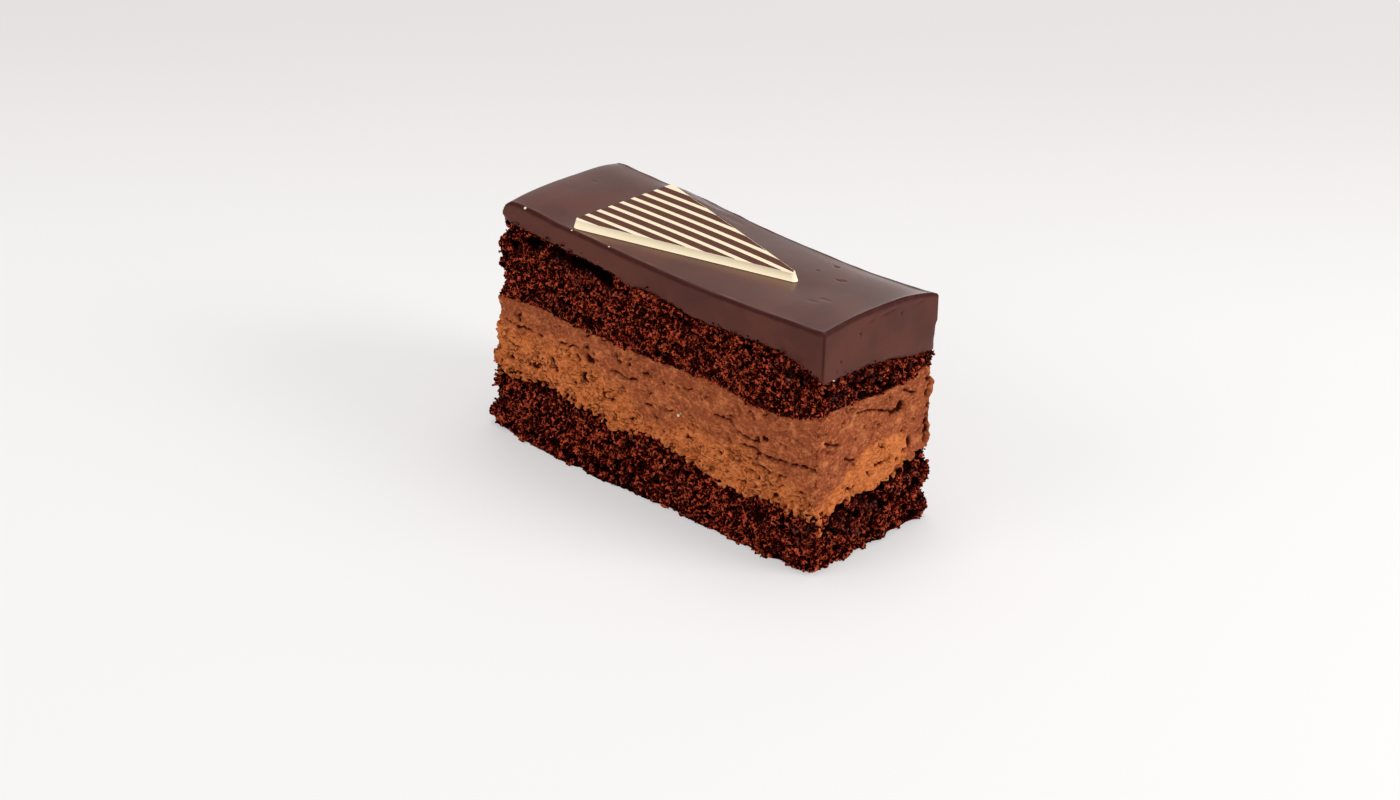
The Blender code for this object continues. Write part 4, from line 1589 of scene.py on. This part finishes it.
# %% Triangle plate
SMOOTH_ANGLE = math.radians(35)
plate = triangle_prism(
    "triangle_plate", (0, 0, 0), PLATE_DRAFTS, PLATE_LOW, PLATE_THICKNESS, PLATE_BEVEL)
write_mask(plate, "side", read_points(plate)[:, 2] < PLATE_THICKNESS - 0.5 * PLATE_BEVEL)
lay_on_seat(plate)
finish_piece(plate, "chocolate_triangle", white_chocolate)
pick(plate)
bpy.ops.object.shade_smooth_by_angle(angle=SMOOTH_ANGLE)
print("plate has", len(plate.data.polygons), "faces")

# %% [markdown]
# The stripes could be painted, but printed chocolate has a thickness that catches the light along its
# edge. So each stripe is a thin bent bar, and a Boolean cuts all of them to the plate's outline, as a
# printed sheet is cut after printing. That way they end in long points where they meet the slanting edge.

# %% Stripes
# Distances across the plate in millimetres; the bend is how fast a stripe falls off from its crest
STRIPE_PITCH = 4.18
STRIPE_WIDTH = 2.55
STRIPE_FIRST = -20.72
STRIPE_COUNT = 9
STRIPE_SLANT = math.radians(0.7)
STRIPE_BEND = 0.00077
STRIPE_CREST = -12.0
STRIPE_RISE = 0.06
STRIPE_DEPTH = 0.4
STRIPE_STEPS = 40
# The print stops short of the long near side, where a plain white margin shows, and runs out to the edge of
# the top on the other two
PRINT_INSETS = (0.65, 0.3, 0.25)


def add_stripe(number):
    """One bar laid along the plate, with a gentle bend, ready to be cut to the outline."""
    bpy.ops.object.select_all(action="DESELECT")
    bpy.ops.mesh.primitive_grid_add(x_subdivisions=STRIPE_STEPS, y_subdivisions=1, size=MM)
    bar = bpy.context.object
    left, right = CORNERS[0][0] - 3, CORNERS[1][0] + 3
    across = STRIPE_FIRST + number * STRIPE_PITCH
    for vert in bar.data.vertices:
        share = vert.co.x / MM + 0.5
        x = left + share * (right - left)
        y = across + vert.co.y / MM * STRIPE_WIDTH - STRIPE_BEND * (x - STRIPE_CREST) ** 2
        y = (y + x * math.sin(STRIPE_SLANT)) / math.cos(STRIPE_SLANT)
        vert.co = Vector((x + MIDDLE[0], y + MIDDLE[1], PLATE_THICKNESS - STRIPE_DEPTH)) * MM
    bpy.ops.object.mode_set(mode="EDIT")
    bpy.ops.mesh.select_all(action="SELECT")
    lift = (STRIPE_DEPTH + STRIPE_RISE) * MM
    bpy.ops.mesh.extrude_region_move(TRANSFORM_OT_translate={"value": (0, 0, lift)})
    bpy.ops.mesh.select_all(action="SELECT")
    bpy.ops.mesh.normals_make_consistent(inside=False)
    bpy.ops.object.mode_set(mode="OBJECT")
    return bar


def make_stripes(material):
    bars = [add_stripe(number) for number in range(STRIPE_COUNT)]
    stripes = join_pieces(bars[0], bars[1:])
    stripes.name = "triangle_stripes"
    cutter = triangle_prism("outline", PRINT_INSETS, PRINT_INSETS, -1.0, PLATE_THICKNESS + 1.0, 0)
    apply_modifier(stripes, "BOOLEAN", operation="INTERSECT", object=cutter, solver="EXACT")
    bpy.data.objects.remove(cutter)
    lay_on_seat(stripes)
    finish_piece(stripes, "chocolate_triangle", material)
    pick(stripes)
    bpy.ops.object.shade_smooth_by_angle(angle=SMOOTH_ANGLE)
    return stripes


stripes = make_stripes(dark_chocolate)
print("stripes have", len(stripes.data.polygons), "faces")

# %% [markdown]
# ## White specks
#
# A few tiny chips of white chocolate lie where the photo shows them: on the edge of the glaze, on its end
# and in the mousse. They are grains again, but white, and each one is set half into what carries it.

# %% White specks
# Places of the chips from the layers' middle, and their sizes
SPECKS = (
    ((-51.0, -22.0, 70.1), 0.5), ((-20.0, -21.6, 69.4), 0.32), ((-33.5, -21.9, 69.6), 0.3),
    ((7.8, -22.6, 29.5), 0.5), ((57.0, -18.0, 57.3), 0.3), ((8.6, -22.7, 30.4), 0.25),
)


def make_specks(dice):
    chips = []
    for place, size in SPECKS:
        bpy.ops.mesh.primitive_ico_sphere_add(
            subdivisions=1, radius=size * MM, location=(Vector(place) + Vector(MIDDLE)) * MM)
        chip = bpy.context.object
        chip.scale = (dice.uniform(0.8, 1.4), dice.uniform(0.7, 1.1), dice.uniform(0.5, 0.9))
        chip.rotation_euler = (dice.uniform(0, 1), dice.uniform(0, 1), dice.uniform(0, 3))
        bpy.ops.object.transform_apply(location=True, rotation=True, scale=True)
        chips.append(chip)
    specks = join_pieces(chips[0], chips[1:])
    specks.name = "white_specks"
    return specks


specks = make_specks(random.Random(5))
finish_piece(specks, None, white_chocolate)
print("specks:", len(SPECKS))

# %% [markdown]
# ## Floor finish
#
# The floor is plain and pale. It throws a lot of soft light back onto the lower half of the slice, and in
# the photo its shadows are very light. A light table does that: a white sheet with a lamp under it. So the
# floor gives off a part of its brightness itself, and only the rest comes from the lamps above.

# %% Floor material
FLOOR_NEAR = (0.539, 0.529, 0.514, 1.0)
FLOOR_FAR = (0.447, 0.413, 0.398, 1.0)
FLOOR_GLOW = (0.345, 0.35, 0.36, 1.0)
FLOOR_CHANGE = (0.08, 0.32)


def floor_material():
    """A pale light table that turns a little darker and pinker behind the slice."""
    tree, made = new_material("pale_floor")
    away = tree.nodes.new("ShaderNodeVectorMath")
    away.operation = "DOT_PRODUCT"
    tree.links.new(place_of(tree), away.inputs[0])
    away.inputs[1].default_value = (-math.sin(CAMERA_AZIMUTH), math.cos(CAMERA_AZIMUTH), 0)
    share = range_of(tree, away.outputs["Value"], *FLOOR_CHANGE)
    paint(
        tree,
        Base_Color=mix_of(tree, share, FLOOR_NEAR, FLOOR_FAR),
        Roughness=0.7,
        Specular_IOR_Level=0.2,
        Emission_Color=FLOOR_GLOW,
        Emission_Strength=1.0,
    )
    return made


floor.data.materials.append(floor_material())
print("floor colours:", FLOOR_NEAR[:3], FLOOR_FAR[:3])

# %% [markdown]
# ## Size
#
# Last we compare the dressed slice with the imported model's box. The looks may change, the size may not.

# %% Sizes and finish
visual_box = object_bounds()
for label, box in (("cad", cad_box), ("visual", visual_box)):
    print(label, [[round(value / MM, 2) for value in corner] for corner in box])
